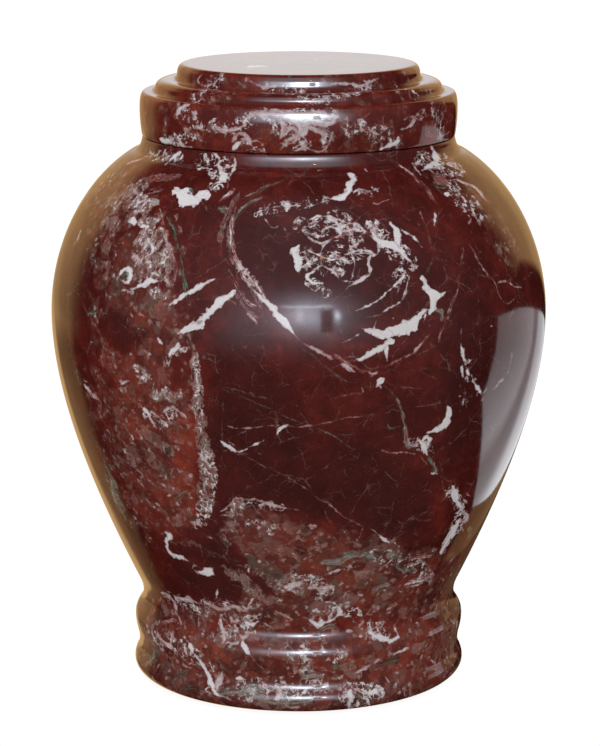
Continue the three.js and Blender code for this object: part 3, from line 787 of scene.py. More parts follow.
FOOT_VEINS = {
    "collar, left": (
        PALE, (162, 593, 1.6), (170, 597, 1.8), (175.6, 606, 1.8), (178, 615, 1.5), (181, 625, 1.2),
    ),
    "collar, top": (PALE, (176, 597, 2.4), (182, 599.6, 2.8), (188, 599, 2.8), (195.6, 603.4, 1)),
    "rope": (
        PALE, (203.6, 602, 1.2), (212, 606, 2), (221, 609.4, 2), (234, 606.8, 2), (245, 610.6, 1.4),
        (250, 603.4, 1.9), (252.8, 598, 1.6),
    ),
    "rope, spur": (PALE, (212, 610.6, 0.9), (216, 616.4, 0.9)),
    "curl": (ASH, (220, 616.6, 1), (225.6, 620, 1.4), (228, 624, 0.9)),
    "tongue": (PALE, (220, 620, 2.2), (223, 630, 2.9), (224.6, 638, 2.4), (222, 643, 1.6)),
    "knot": (PALE, (230.6, 616, 1.2), (234, 622, 2), (239, 620.4, 1.6)),
    "knot, foot": (PALE, (232.6, 624, 0.8), (238.4, 632.4, 1), (243, 638, 2.4), (247, 635.6, 2.4)),
    "bow tie": (WHITE, (246, 622.6, 1.4), (252.6, 624.4, 2.1), (259, 621.4, 1.4)),
    "moss by the tie": (MOSS, (243.4, 628, 2.4), (245, 629, 2.4)),
    "speck by the tie": (PALE, (264, 623.6, 1.1), (271, 627, 0.8)),
    "kite": (WHITE, (242.6, 641, 1), (245, 648.6, 2.5), (249.6, 654.4, 0.9)),
    "kite, string": (PALE, (249.6, 654.4, 0.7), (256, 662.6, 0.6), (263.4, 669.4, 0.4)),
    "arc, bead": (PALE, (275, 610.4, 0.8), (282, 613.6, 1.1), (291, 619.4, 0.6)),
    "arc, bead two": (PALE, (292.6, 608.4, 0.6), (300, 613, 0.7)),
    "pale bead one": (ASH, (254, 608, 2.2), (256, 609, 2)),
    "pink bead": (PINK, (260.6, 604.6, 1.5), (262, 605.4, 1.5)),
    "upright, left": (PALE, (198.4, 616, 0.8), (198.4, 627, 0.7)),
    "loop, top": (PINK, (156, 630, 1.2), (162, 623.8, 1.8), (173, 620.4, 2), (178, 624, 1.4)),
    "loop, foot": (PALE, (156.8, 632, 1.2), (162.4, 641, 2.4), (171, 647.6, 2.2), (173.6, 651, 1)),
    "loop, right": (PALE, (172.6, 632, 1.4), (171, 641, 1.2)),
    "loop, heart": (GREY, (165, 634.6, 2.8), (168, 636, 2.8)),
    "left thread": (PINK, (176.6, 641, 0.9), (177.8, 648.6, 1), (176.6, 660.6, 0.8), (181, 672.6, 1)),
    "long vein": (
        WHITE, (184, 636.4, 0.8), (189.6, 645.4, 2.3), (195, 655, 1.2), (203.6, 666, 2.2), (210, 680, 2.6),
        (213.6, 689.6, 2.4), (217.8, 695, 2),
    ),
    "long vein, root": (PALE, (219, 695.4, 1.4), (227.6, 697.4, 1.3), (237.4, 702.8, 0.7)),
    "long vein, cross": (PALE, (199.4, 689.7, 0.8), (210, 692.2, 1), (217, 694.4, 1.1)),
    "long vein, branch": (PALE, (215.6, 690, 2.2), (218, 683, 3), (222.2, 676.6, 2.6), (221.6, 672, 0.9)),
    "short vein": (PALE, (181.6, 661, 1), (185.6, 666, 1.3), (191, 668.2, 0.8)),
    "short vein, tail": (PALE, (196, 673.4, 0.7), (200.6, 678, 1.1), (202.4, 670, 0.7)),
    "oval": (WHITE, (237.6, 678.4, 2.6), (241.4, 678.4, 2.6)),
    "flank leaf": (ASH, (145, 666, 0.8), (151.6, 658.6, 2.1), (155, 650.6, 0.9)),
    "moss, left": (MOSS, (170, 684, 2.6), (179, 677, 4.4), (190, 671, 3)),
    "dark chip, left": (MAROON, (180, 690, 3), (192, 687, 6), (203, 690, 3)),
    "grey field": (GREY, (222, 694, 2.6), (232, 691, 5.4), (247, 690, 5.8), (262, 694, 5)),
    "net in the grey one": (PALE, (247, 684.6, 0.9), (259, 685.4, 1.2), (259, 691, 0.9)),
    "net in the grey two": (PALE, (268, 686.6, 1.2), (277, 687.6, 2), (280, 694, 2.6), (276, 699, 1.2)),
    "green eye, ring": (PALE, (281, 688, 1.4), (289, 685.6, 1.8), (297, 688, 1.6), (299, 693, 1)),
    "green eye": (GREEN, (285, 693, 2.6), (291, 694, 3.2)),
    "rim line": (PALE, (283, 702.6, 1), (290.6, 707, 1.4), (300, 706.4, 1)),
    "grey rim": (GREY, (262, 700, 3), (276, 704, 3), (300, 702, 3.4), (312, 700, 2)),
    "crescent": (
        WHITE, (309, 619.6, 0.8), (314, 622.6, 2), (319, 624.4, 3), (329, 621, 1.7), (336, 617.4, 2.2),
        (340.4, 613, 2.9), (339.4, 609.4, 2), (334, 603.4, 1.5), (326, 602, 0.9),
    ),
    "crescent, shadow": (GREY, (320, 630.6, 1.8), (327, 627.6, 2.8), (335, 623.6, 1.6)),
    "dash one": (PALE, (294.6, 610.6, 0.7), (299.4, 615.4, 0.7)),
    "dash two": (PALE, (302.6, 617.4, 0.5), (308.4, 619, 0.7)),
    "pale bead two": (ASH, (303, 629, 2.2), (305, 630.4, 2)),
    "pink oval": (PALE, (346.6, 631, 1.8), (351.6, 631.6, 2)),
    "lilac bead": (PALE, (359, 636, 1.6), (361.6, 636.2, 1.7)),
    "second crescent": (
        WHITE, (368, 629.6, 1), (371.6, 633, 3), (377, 636, 3.4), (383, 638.6, 2.8), (392, 640, 2.9),
        (398, 636, 2.3), (394.6, 629, 1.7),
    ),
    "second crescent, eye": (DARK, (382, 632, 1.6), (387, 632.6, 2.4)),
    "second crescent, over": (PALE, (383, 628.2, 1), (387.6, 627.6, 1)),
    "second crescent, stalk": (
        PINK, (393.4, 625.6, 1.4), (399, 618.6, 1.1), (405, 614, 0.9), (416.4, 603.8, 0.7),
        (418.6, 601.4, 0.4),
    ),
    "tick above it": (PALE, (387.4, 613.4, 1.1), (391.2, 611.8, 0.8)),
    "wedge, right": (WHITE, (393.4, 655.4, 0.5), (400, 651, 1.8), (406.4, 648.4, 2.3)),
    "dark chip, right": (MAROON, (377, 667, 2), (386, 663, 4.6), (397, 657, 3.4)),
    "slant": (
        PALE, (352, 676, 1.3), (361, 670.4, 1.9), (370.4, 664.6, 1.6), (382, 657.6, 1), (391, 650.6, 0.6),
    ),
    "slant, spur": (PALE, (361, 671.6, 1), (361.8, 677.4, 0.7)),
    "green lens": (GREEN, (329.6, 666.4, 1.4), (336, 666.2, 2.9), (342.6, 665.6, 1.4)),
    # Painted reflection: the lilac-grey glow of light on the front of the foot, laid in as an ash vein
    "painted lilac reflection": (ASH, (303, 678, 2.6), (312, 676, 4), (322, 677, 3)),
    "pale bead three": (PALE, (396, 672.4, 1.6), (398, 673.4, 1.6)),
    "claw one": (WHITE, (350, 690, 2), (350.6, 697, 4), (350, 704, 2.6), (348.6, 709, 1.2)),
    "claw two": (WHITE, (357.6, 701, 2.3), (357.8, 708.6, 1)),
    "claw three": (WHITE, (362.6, 698, 1.6), (368, 700, 2), (369.4, 706.4, 1.1)),
    "claw four": (WHITE, (365.8, 692, 1.8), (370.4, 694, 2.4), (375, 690.6, 3.2)),
    "claw, palm": (PALE, (353, 692, 1.6), (359, 689, 1.2), (364.6, 693.4, 1)),
    "claw, moss": (MOSS, (356, 695, 2.8), (360, 696.4, 2.4)),
    "tick, right": (PALE, (385.4, 677, 1), (389, 682.4, 1.2)),
    "dark chip, far right": (DARK, (380, 679, 2.6), (384, 680, 2.6)),
    "pink upright": (PINK, (387.6, 693, 1), (388.8, 703, 0.9)),
    "pink upright two": (PINK, (403.6, 689.6, 1), (404.2, 696, 0.8)),
    "dim bead one": (PALE, (416.6, 623, 1.4), (418.4, 623.6, 1.4)),
    "dim bead two": (PINK, (433.6, 617, 1.8), (436, 618, 1.4)),
    "dim bead three": (PINK, (429, 659, 1.2), (434.6, 663.6, 1.8)),
    "dim line": (PALE, (450.6, 619.6, 0.6), (455.4, 623.2, 0.9)),
}

LID_VEINS = {
    "middle, lilac block": (
        PALE, (249, 112, 2), (262, 113.5, 3.4), (278, 113, 4), (300, 115, 3.4), (322, 113, 4.6),
        (330, 118, 3.4),
    ),
    "middle, lilac heart": (
        PALE, (292, 119, 4), (303, 126, 6.5), (300, 134, 3.6), (290, 139, 2.8), (281, 143, 2),
    ),
    "middle, lilac drop": (PALE, (310, 128, 3), (320, 131, 2.2), (324, 140, 1.4)),
    "low left, lilac arch": (PALE, (232, 142, 2.2), (239, 134, 2.4), (247, 136, 1.8), (252, 143, 1)),
    "low, lilac foot": (PALE, (247, 144, 2), (256, 141, 1.6), (263, 145, 1.8)),
    "left hook": (PALE, (176.4, 115, 1.4), (180.6, 107.6, 2.5), (189.4, 104.6, 1.3)),
    "left hook, tail": (PALE, (177, 117, 1), (181.6, 124, 0.9), (187, 126.6, 0.8)),
    "left pink": (PINK, (192, 112, 1.6), (196, 113.4, 1.8)),
    "pink cloud one": (PINK, (184, 128, 1.8), (193, 133, 3), (203, 140, 1.8)),
    "pink cloud two": (PALE, (196, 126, 1.6), (202, 128.6, 2.2)),
    "left foot patch": (WHITE, (161, 139, 2.6), (166, 141, 2.6), (172, 143.6, 1.2)),
    "left foot specks": (PALE, (176, 143, 1), (184, 146, 1.2), (192, 147, 0.8)),
    "swoosh": (
        PALE, (209.6, 124, 0.9), (219, 129, 2.2), (229, 130.4, 2.6), (238, 129, 2.8), (245.6, 124, 1.4),
    ),
    "pale left of the glow": (PALE, (248, 117, 2), (262, 114, 2.4), (276, 114.6, 2.6)),
    "cloud, top": (PALE, (276, 116, 3), (293, 115, 4), (316, 115, 4), (336, 116, 2.6)),
    "cloud, left": (PALE, (282, 122, 2.6), (284, 131, 3), (280, 140, 1.4)),
    "cloud, ring": (PALE, (286, 132, 1.8), (291, 128, 2), (297, 133, 2.2), (294, 142, 2), (287, 144, 1.6)),
    "cloud, right": (PALE, (302, 126, 3), (312, 121, 3.6), (328, 124, 3.4), (336, 117, 2)),
    "cloud, right foot": (ASH, (318, 128, 2), (330, 133, 2.4), (333, 141, 1.4)),
    "cloud, lower net": (PALE, (303, 147, 0.9), (320, 152, 1), (329, 143, 1.2), (333, 131, 1)),
    "foot curl": (PALE, (241, 140, 1.4), (248, 139.6, 1.8), (252.6, 146, 1.1), (266, 153, 0.8)),
    "foot curl, left": (WHITE, (232.4, 149.6, 1.6), (236, 145.6, 2.2), (241, 142, 1.8)),
    "net right one": (
        PINK, (339.6, 121, 1), (355, 126.6, 0.9), (366, 131, 0.8), (373, 135, 0.8), (383, 145, 0.6),
    ),
    "net right two": (PINK, (345, 123.6, 0.6), (350, 137, 0.6), (338, 150, 0.5)),
    "net right three": (PINK, (355, 126, 0.6), (362, 119, 0.7), (371, 112, 0.5)),
    "upright": (PINK, (381, 150, 0.7), (382.4, 133, 0.6), (383.2, 116, 0.5)),
    "right triangle": (WHITE, (381, 149.6, 1.8), (386, 147.4, 2.8), (394, 144, 2.8), (401.4, 139.4, 1)),
    "right cluster one": (PALE, (401, 129.6, 1.2), (410, 126.6, 2), (414, 119, 1.6), (419, 113.4, 1.4)),
    "right cluster two": (PALE, (404, 120, 0.8), (413, 116, 1), (420, 120, 1)),
    "right slant": (PALE, (429, 111.6, 0.7), (434, 109, 1), (439.6, 106, 0.6)),
    "right slant low": (PALE, (436.6, 139.6, 0.8), (443, 136, 1.3), (449.6, 131.6, 0.7)),
    "red patch": (BRICK, (427, 134, 2.6), (431, 134.6, 2.6)),
    "middle step, white": (
        PALE, (299, 100.6, 1.2), (308, 101.4, 2.2), (318, 100.8, 2.6), (330, 96, 2.4), (351, 93.4, 1.2),
    ),
    "middle step, white two": (ASH, (288, 98, 1), (298, 99.6, 1.4)),
    "middle step, left": (PALE, (200, 98, 0.6), (206, 101, 0.9)),
    "middle step, dots": (PALE, (388.4, 89.6, 0.9), (398.6, 88.4, 0.8)),
    "middle step, thread": (PINK, (408.6, 91, 0.7), (411, 101.4, 0.7)),
    "top step, left net": (
        PALE, (203, 72.6, 0.8), (197.4, 81, 1.1), (205, 85.6, 1.4), (213, 83, 1), (220, 78, 1),
    ),
    "top step, left dots": (ASH, (210, 76, 1), (216, 80, 1)),
    "top step, lilac": (PALE, (248, 80, 0.8), (255, 84, 1.8), (266, 88, 2.2), (279, 85.6, 1.2)),
    "top step, red": (BRICK, (238, 82, 1.6), (243, 85.6, 2)),
    "top step, right": (
        PALE, (325, 85.6, 0.8), (345, 83.6, 1.6), (360, 85.8, 2), (370.4, 81, 1.9), (378.4, 78, 0.9),
    ),
    "top step, right low": (PALE, (366, 87, 1), (374, 85.4, 1.4)),
}


# Veins on the level top of the lid, seen from above, in plan units from the middle
TOP_VEINS = {
    "long, pale": (
        PALE, (-112, 20, 0.6), (-70, 34, 1.2), (-30, 22, 0.8), (14, 38, 1.6), (52, 30, 0.8), (96, 48, 0.5),
    ),
    "long, branch": (PINK, (14, 38, 0.9), (28, 2, 1.1), (60, -24, 0.7), (92, -40, 0.5)),
    "crossing": (PALE, (-60, -90, 0.5), (-44, -40, 1.3), (-52, 4, 0.8), (-30, 22, 1.2)),
    "white patch": (WHITE, (-52, -44, 2), (-42, -34, 5), (-32, -36, 2)),
    "brick": (BRICK, (30, -84, 2), (48, -70, 4), (70, -66, 2)),
    "hair": (GREY, (-96, -30, 0.4), (-60, -52, 0.6), (-20, -60, 0.5), (20, -92, 0.4)),
    "hair two": (PALE, (30, 80, 0.4), (44, 44, 0.7), (80, 8, 0.5), (110, -4, 0.4)),
}

# The angular net inside the ring, drawn with straight strokes
NET_VEINS = {
    "ring, arch": (
        WHITE, (309, 220, 0.8), (318, 216, 1.2), (328, 216, 1.6), (338, 220, 1.4), (348, 223, 1.0),
        (358, 224, 1.2), (365, 231, 0.8),
    ),
    "ring, patch": (WHITE, (322, 230, 1.0), (331, 226, 2.0), (339, 230, 3.9), (343, 226, 1.7)),
    "ring, patch arm": (WHITE, (340, 233, 1.1), (350, 230, 0.8), (360, 226, 0.8)),
    "ring, upper wall": (
        WHITE, (304, 234, 0.8), (312, 240, 1.0), (320, 243, 0.8), (328, 241, 1.0), (341, 234, 0.8),
    ),
    "ring, spoke": (WHITE, (320, 256, 0.8), (322, 246, 1.0), (331, 241, 0.8)),
    "ring, middle wall": (
        WHITE, (308, 250, 0.8), (320, 256, 1.1), (330, 260, 0.8), (340, 259, 0.8), (351, 252, 1.0),
        (360, 250, 1.0), (372, 252, 1.1),
    ),
    "ring, cross": (WHITE, (351, 252, 0.8), (349, 242, 0.8), (350, 230, 0.6)),
    "ring, low cell": (
        WHITE, (312, 270, 0.8), (322, 266, 1.1), (332, 270, 0.8), (340, 280, 0.8), (350, 282, 1.1),
        (362, 280, 1.0), (370, 272, 1.1), (368, 262, 1.0), (372, 252, 0.8),
    ),
    "ring, low cross": (WHITE, (340, 259, 0.8), (344, 270, 0.8), (341, 278, 0.8)),
    "ring, low cross two": (WHITE, (351, 252, 0.8), (355, 265, 0.8), (352, 278, 0.8), (346, 290, 0.6)),
    "ring, low spoke": (WHITE, (322, 266, 0.8), (320, 256, 0.8)),
    "ring, left side": (WHITE, (299, 246, 2.5), (293, 252, 4.2), (297, 262, 4.2), (298, 272, 1.7)),
    "ring, foot": (WHITE, (315, 271, 1.2), (306, 276, 2.0), (312, 283, 1.7), (323, 283, 1.0)),
    "ring, top": (WHITE, (326, 218, 1.4), (336, 221, 2.2), (340, 228, 2.0), (339, 234, 1.0)),
    "ring, top left": (WHITE, (312, 225, 0.8), (320, 231, 1.0), (328, 235, 0.8)),
    "ring, right side": (WHITE, (390, 222, 2.0), (397, 230, 3.2), (397, 240, 3.0), (400, 248, 1.4)),
    "ring, thin right": (WHITE, (400, 229, 1.0), (415, 238, 1.2), (422, 248, 0.8)),
}

# Softer fields: strength, then points (x, y, half width) in pixels of the photograph. Clasts are broken
# stone, mottle is the grey and pink crumb along the bands, crackle is pale walls round small dark cells,
# and red and dark shift the ground.

CLAST_FIELDS = (
    (0.75, (120, 200, 45), (140, 300, 62), (140, 400, 62), (150, 480, 55), (168, 520, 40)),
    (0.9, (238, 512, 12), (255, 540, 40), (300, 565, 45), (345, 570, 45), (400, 575, 40), (440, 575, 30)),
    (0.8, (160, 610, 16), (300, 605, 20), (445, 600, 22)),
    (1.0, (150, 650, 40), (230, 670, 50), (300, 670, 60), (380, 670, 50), (450, 650, 40)),
    (0.6, (430, 165, 16), (450, 185, 16), (480, 205, 18), (506, 250, 22)),
    (0.4, (330, 232, 34), (385, 240, 20)),
)
CLAST_CUTS = (
    (0.95, (170, 560, 26), (190, 575, 34), (215, 570, 34), (228, 590, 14)),
    (0.6, (115, 325, 18), (130, 345, 12)),
)
MOTTLE_FIELDS = (
    (
        0.9, (188, 336, 3), (195, 358, 6), (197, 385, 7), (199, 410, 7), (203, 440, 9), (207, 470, 11),
        (205, 505, 11),
    ),
    (0.72, (134, 184, 12), (138, 205, 18), (150, 232, 22), (156, 258, 24), (160, 285, 18)),
    (0.6, (176, 215, 4), (182, 250, 6), (182, 275, 5)),
    (0.8, (112, 205, 12), (112, 224, 12)),
    (0.7, (160, 395, 12), (176, 396, 10)),
    (0.6, (125, 455, 9), (135, 462, 7)),
    (0.7, (165, 448, 8), (174, 450, 7)),
    (0.6, (505, 246, 9), (512, 262, 8)),
    (0.65, (240, 505, 8), (232, 520, 8), (228, 540, 8)),
    (0.6, (258, 524, 6), (270, 526, 8), (284, 524, 5)),
    (0.6, (305, 543, 8), (322, 546, 8)),
    (0.7, (225, 565, 8), (250, 585, 9), (262, 598, 8)),
    (0.5, (300, 596, 10), (345, 600, 8)),
    (0.6, (206, 635, 10), (232, 630, 10)),
    (0.6, (292, 655, 12), (320, 690, 10)),
    (0.5, (450, 612, 12), (458, 640, 8)),
)
CRACKLE_FIELDS = (
    (
        0.72, (300, 225, 10), (318, 226, 14), (338, 222, 15), (352, 236, 16), (345, 258, 18),
        (322, 262, 18), (300, 255, 12),
    ),
    (0.65, (312, 282, 10), (325, 292, 8)),
    (0.8, (372, 224, 8), (384, 240, 12), (400, 252, 14), (410, 264, 10), (392, 282, 9)),
    (0.6, (250, 214, 7), (275, 208, 8), (300, 205, 8), (325, 200, 8)),
    (0.55, (360, 196, 10), (378, 190, 8)),
    (0.6, (140, 185, 12), (140, 205, 18), (148, 232, 22), (150, 258, 22), (156, 285, 20)),
    (0.7, (150, 155, 8), (165, 156, 9), (180, 158, 7)),
    (0.75, (204, 162, 12), (222, 170, 15), (216, 186, 9)),
    (0.7, (236, 262, 6), (250, 280, 8), (262, 298, 8)),
    (0.6, (420, 158, 10), (440, 166, 16), (460, 172, 10)),
    (0.7, (450, 182, 8), (468, 205, 13), (480, 214, 10)),
    (0.7, (412, 325, 9), (425, 314, 8)),
    (0.5, (365, 352, 10), (380, 345, 8)),
    (0.5, (467, 345, 5), (468, 372, 8), (474, 392, 9), (464, 402, 7)),
    (0.6, (405, 440, 8), (424, 447, 10), (434, 460, 7)),
    (0.75, (452, 492, 9), (460, 512, 9), (455, 530, 8)),
    (0.6, (186, 348, 8), (172, 356, 7)),
    (0.6, (138, 370, 10), (146, 378, 8)),
    (0.55, (160, 392, 12), (178, 392, 9)),
    (0.75, (148, 415, 7), (160, 424, 9), (172, 414, 8)),
    (0.5, (130, 440, 9), (128, 456, 10)),
    (0.85, (205, 452, 9), (210, 480, 10), (205, 505, 10), (200, 524, 8)),
    (0.8, (196, 360, 6), (198, 390, 7), (200, 425, 7)),
    (0.6, (240, 505, 8), (262, 505, 8), (285, 508, 6)),
    (0.6, (250, 524, 8), (275, 530, 8)),
    (0.6, (275, 590, 14), (300, 580, 14), (325, 588, 14)),
    (0.6, (352, 560, 12), (395, 558, 12), (425, 575, 14)),
    (0.55, (172, 600, 14), (200, 606, 12), (232, 612, 16), (258, 612, 14)),
    (0.55, (226, 638, 14), (246, 630, 12), (206, 634, 9)),
    (0.7, (320, 616, 12), (345, 608, 10), (380, 632, 14)),
    (0.55, (160, 640, 12), (186, 652, 12), (206, 672, 12), (218, 688, 14)),
    (0.7, (245, 690, 14), (272, 688, 16), (296, 692, 18), (318, 684, 16)),
    (0.9, (352, 696, 16), (374, 692, 12)),
    (0.5, (300, 650, 30), (340, 660, 24)),
)
LID_CRACKLE_FIELDS = (
    (0.66, (184, 108, 9), (194, 130, 14), (170, 142, 10)),
    (0.66, (214, 126, 10), (236, 128, 12), (256, 118, 12), (276, 120, 14), (300, 122, 16), (326, 120, 16)),
    (0.6, (286, 138, 12), (310, 146, 10), (330, 138, 10)),
    (0.54, (246, 144, 9), (262, 154, 8)),
    (0.54, (350, 128, 12), (372, 128, 12), (388, 142, 12), (404, 134, 10)),
    (0.54, (412, 118, 10), (434, 110, 8), (442, 134, 8)),
    (0.66, (262, 84, 9), (286, 90, 8), (310, 100, 10), (334, 96, 9), (356, 90, 8), (372, 82, 8)),
    (0.6, (204, 82, 9), (222, 82, 8), (196, 98, 8)),
    (0.5, (396, 88, 8), (412, 96, 8)),
)
RED_FIELDS = (
    (0.9, (190, 420, 14), (185, 445, 18), (187, 470, 14), (186, 500, 14), (196, 510, 9)),
    (0.55, (155, 500, 30), (175, 520, 18)),
    (0.3, (130, 300, 60), (140, 400, 55)),
    (0.6, (250, 530, 26), (300, 540, 34), (340, 575, 34), (400, 585, 30)),
    (0.65, (200, 650, 40), (300, 650, 60), (400, 650, 50)),
    (0.5, (225, 670, 12), (270, 665, 16)),
)
DARK_FIELDS = (
    (0.5, (240, 360, 40), (280, 450, 46), (340, 480, 46), (400, 500, 36)),
    (0.5, (195, 575, 32), (215, 570, 30)),
    (0.45, (480, 420, 36), (470, 330, 34)),
    (0.5, (150, 345, 26), (118, 325, 20)),
    (0.3, (250, 235, 30), (330, 300, 40)),
    (0.6, (132, 515, 8), (140, 535, 10)),
)


# Painting the fields onto the vertices of a piece

# The unit of the lid's top veins, the least half width of a stroke, and the step along a smooth stroke
PLAN_UNIT_MM = 0.4
HAIR_PX = 0.3
STEP_PX = 2.5


class Plan:
    """The surface seen from straight above."""

    def __init__(self, places):
        self.x = places[:, 0] / MM / PLAN_UNIT_MM
        self.y = places[:, 1] / MM / PLAN_UNIT_MM


class Chart:
    """The surface as a camera like the photograph's sees it, after the urn has been turned by an angle."""

    def __init__(self, places, normals, turned_by):
        c, s = math.cos(turned_by), math.sin(turned_by)
        spin = np.array([[c, s, 0], [-s, c, 0], [0, 0, 1]])
        seen = places @ spin.T - np.array(CAMERA_AT)
        facing = normals @ spin.T
        ahead = np.array([0, math.cos(CAMERA_DOWN), -math.sin(CAMERA_DOWN)])
        up = np.array([0, math.sin(CAMERA_DOWN), math.cos(CAMERA_DOWN)])
        depth = seen @ ahead
        self.x = AXIS_X_PX + FOCAL_PX * seen[:, 0] / depth
        self.y = PHOTO_H / 2 - FOCAL_PX * (seen @ up) / depth
        sight = seen / np.linalg.norm(seen, axis=1)[:, None]
        self.facing = -(sight * facing).sum(1)


def straight_path(points):
    """A line through given points, as an array of x, y and half width. It keeps its corners."""
    path = np.array(points, float)
    path[:, 2] = np.maximum(path[:, 2], HAIR_PX)
    return path


def smooth_path(points):
    """A smooth line through given points, as an array of x, y and half width."""
    p = np.array(points, float)
    p = np.vstack([2 * p[0] - p[1], p, 2 * p[-1] - p[-2]])
    path = []
    for a, b, c, d in zip(p[:-3], p[1:-2], p[2:-1], p[3:]):
        count = max(1, int(np.hypot(*(c - b)[:2]) / STEP_PX))
        for t in np.arange(count) / count:
            square = (2 * a - 5 * b + 4 * c - d) * t**2
            cube = (3 * b - a - 3 * c + d) * t**3
            path.append(0.5 * (2 * b + (c - a) * t + square + cube))
    path.append(p[-2])
    return straight_path(path)


# The half width that stands for no vein, the number of groups that keep veins apart, and how far the field
# of a vein reaches past its edge
NO_VEIN = -9.0
GROUPS = 8
REACH_PX = 6.0


def beside(path, x, y):
    """For points (x, y): the distance to the nearest stretch of a path, the signed distance across it, and
    its half width there. Past the ends the half width falls off, so a stroke ends in a point."""
    best = np.full(len(x), 1e9)
    across = np.zeros(len(x))
    width = np.full(len(x), NO_VEIN)
    last = len(path) - 2
    for i in range(last + 1):
        a, b = path[i], path[i + 1]
        run = b[:2] - a[:2]
        length = max(np.hypot(*run), 1e-6)
        ux, uy = run / length
        along = (x - a[0]) * ux + (y - a[1]) * uy
        off = (x - a[0]) * uy - (y - a[1]) * ux
        held = np.clip(along, 0, length)
        past = np.abs(along - held)
        distance = np.hypot(off, past)
        nearer = distance < best
        at_end = ((i == 0) & (along < 0)) | ((i == last) & (along > length))
        sign = np.where(off < 0, -1.0, 1.0)
        w = a[2] + (b[2] - a[2]) * held / length
        best = np.where(nearer, distance, best)
        across = np.where(nearer, np.where(at_end, off, sign * distance), across)
        width = np.where(nearer, np.where(at_end, w - past, w), width)
    return best, across, width


class VeinPainter:
    """Keeps the veins in a few groups, so that two veins near each other never share one."""

    def __init__(self, count):
        self.fields = np.zeros((GROUPS, count, 3), np.float32)
        self.fields[:, :, 1] = NO_VEIN
        self.taken = np.zeros((GROUPS, count), bool)

    def paint(self, chart, tone, points, allowed, narrowing=None, make_path=smooth_path):
        path = make_path(points)
        zone = path[:, 2].max() + REACH_PX
        low = path[:, :2].min(0) - zone
        high = path[:, :2].max(0) + zone
        in_columns = (chart.x > low[0]) & (chart.x < high[0])
        in_rows = (chart.y > low[1]) & (chart.y < high[1])
        chosen = np.flatnonzero(allowed & in_columns & in_rows)
        if len(chosen) == 0:
            return
        distance, across, width = beside(path, chart.x[chosen], chart.y[chosen])
        near = distance < zone
        chosen, across, width = chosen[near], across[near], width[near]
        if len(chosen) == 0:
            return
        if narrowing is not None:
            width = width - narrowing[chosen]
        clashes = [int(self.taken[g, chosen].sum()) for g in range(GROUPS)]
        group = clashes.index(min(clashes))
        field = self.fields[group]
        fits = (width - np.abs(across)) > (field[chosen, 1] - np.abs(field[chosen, 0]))
        chosen, across, width = chosen[fits], across[fits], width[fits]
        field[chosen] = np.stack([across, width, np.full(len(chosen), tone)], 1)
        self.taken[group, chosen] = True

    def store(self, mesh):
        for g in range(GROUPS):
            attribute = mesh.attributes.new(f"vein_{g}", "FLOAT_VECTOR", "POINT")
            attribute.data.foreach_set("vector", self.fields[g].ravel())


def brushed(chart, fields):
    """The strongest of some soft brush strokes at each vertex, from 0 to 1."""
    total = np.zeros(len(chart.x))
    for strength, *points in fields:
        best = np.zeros(len(chart.x))
        for x, y, width in smooth_path(points):
            near = 1 - ((chart.x - x) ** 2 + (chart.y - y) ** 2) / width**2
            best = np.maximum(best, near)
        total = np.maximum(total, strength * np.sqrt(np.clip(best, 0, 1)))
    return total


def patchy(places, size, seed):
    """Slow noise between 0 and 1 over the piece, with features of about that size in metres."""
    offset = Vector((seed * 7.3, seed * 3.1, seed * 5.7))
    values = [noise.fractal(Vector(p) / size + offset, 1.0, 2.0, 3) for p in places]
    return np.clip(0.5 + 0.55 * np.array(values), 0, 1)


def ease(value, low, high):
    """0 below the low limit, 1 above the high one, and a soft rise between them."""
    t = np.clip((value - low) / (high - low), 0, 1)
    return t * t * (3 - 2 * t)


def wander(rng, x, y, heading, length, width, wobble):
    """Points of a vein that wanders off from a place."""
    points = [(x, y, width * 0.4)]
    steps = max(3, int(length / 9))
    for i in range(steps):
        heading += rng.uniform(-wobble, wobble)
        x += length / steps * math.cos(heading)
        y += length / steps * math.sin(heading)
        swell = math.sin(math.pi * (i + 1) / (steps + 0.6))
        points.append((x, y, max(0.35, width * (0.35 + 0.9 * swell) * rng.uniform(0.6, 1.4))))
    return points


# Shares of the veins at the back, of which the rest are hairs
LONG_ONES = 0.22
BLOTS = 0.2
PATCHES = 0.18


def back_veins(rng, low_y, high_y, count):
    """Veins for a side that isn't in the photograph: long ones with branches, blots, patches and hairs."""
    veins = []
    for _ in range(count):
        x = rng.uniform(70, 530)
        y = rng.uniform(low_y, high_y)
        heading = rng.choice((0.7, 0.9, 2.3, 2.6)) + rng.uniform(-0.5, 0.5)
        kind = rng.random()
        if kind < LONG_ONES:
            trunk = wander(rng, x, y, heading, rng.uniform(70, 170), rng.uniform(1.2, 2.6), 0.35)
            veins.append((rng.choice((PINK, PALE, WHITE)), trunk))
            for joint in rng.sample(trunk, min(3, len(trunk))):
                branch_heading = heading + rng.uniform(0.7, 1.5)
                veins.append((PALE, wander(rng, joint[0], joint[1], branch_heading, 30, 0.9, 0.5)))
        elif kind < LONG_ONES + BLOTS:
            length = rng.uniform(14, 34)
            half_width = rng.uniform(2.0, 5.0)
            veins.append((WHITE, wander(rng, x, y, heading, length, half_width, 0.6)))
        elif kind < LONG_ONES + BLOTS + PATCHES:
            tone = rng.choice((GREY, ASH, PALE, BRICK))
            half_width = rng.uniform(1.5, 3.6)
            veins.append((tone, wander(rng, x, y, heading, 22, half_width, 0.5)))
        else:
            tone = rng.choice((PINK, GREY, PALE))
            length = rng.uniform(25, 90)
            veins.append((tone, wander(rng, x, y, heading, length, 0.55, 0.35)))
    return veins


# A face counts as level when its normal points this much up or down, and as the back while it faces the
# camera less than BACK_FACING. The foot ends, and the lid's top starts, at these heights.
LEVEL_NORMAL = 0.93
BACK_FACING = 0.14
FOOT_TOP_MM = 60
TOP_FROM_MM = 253.5


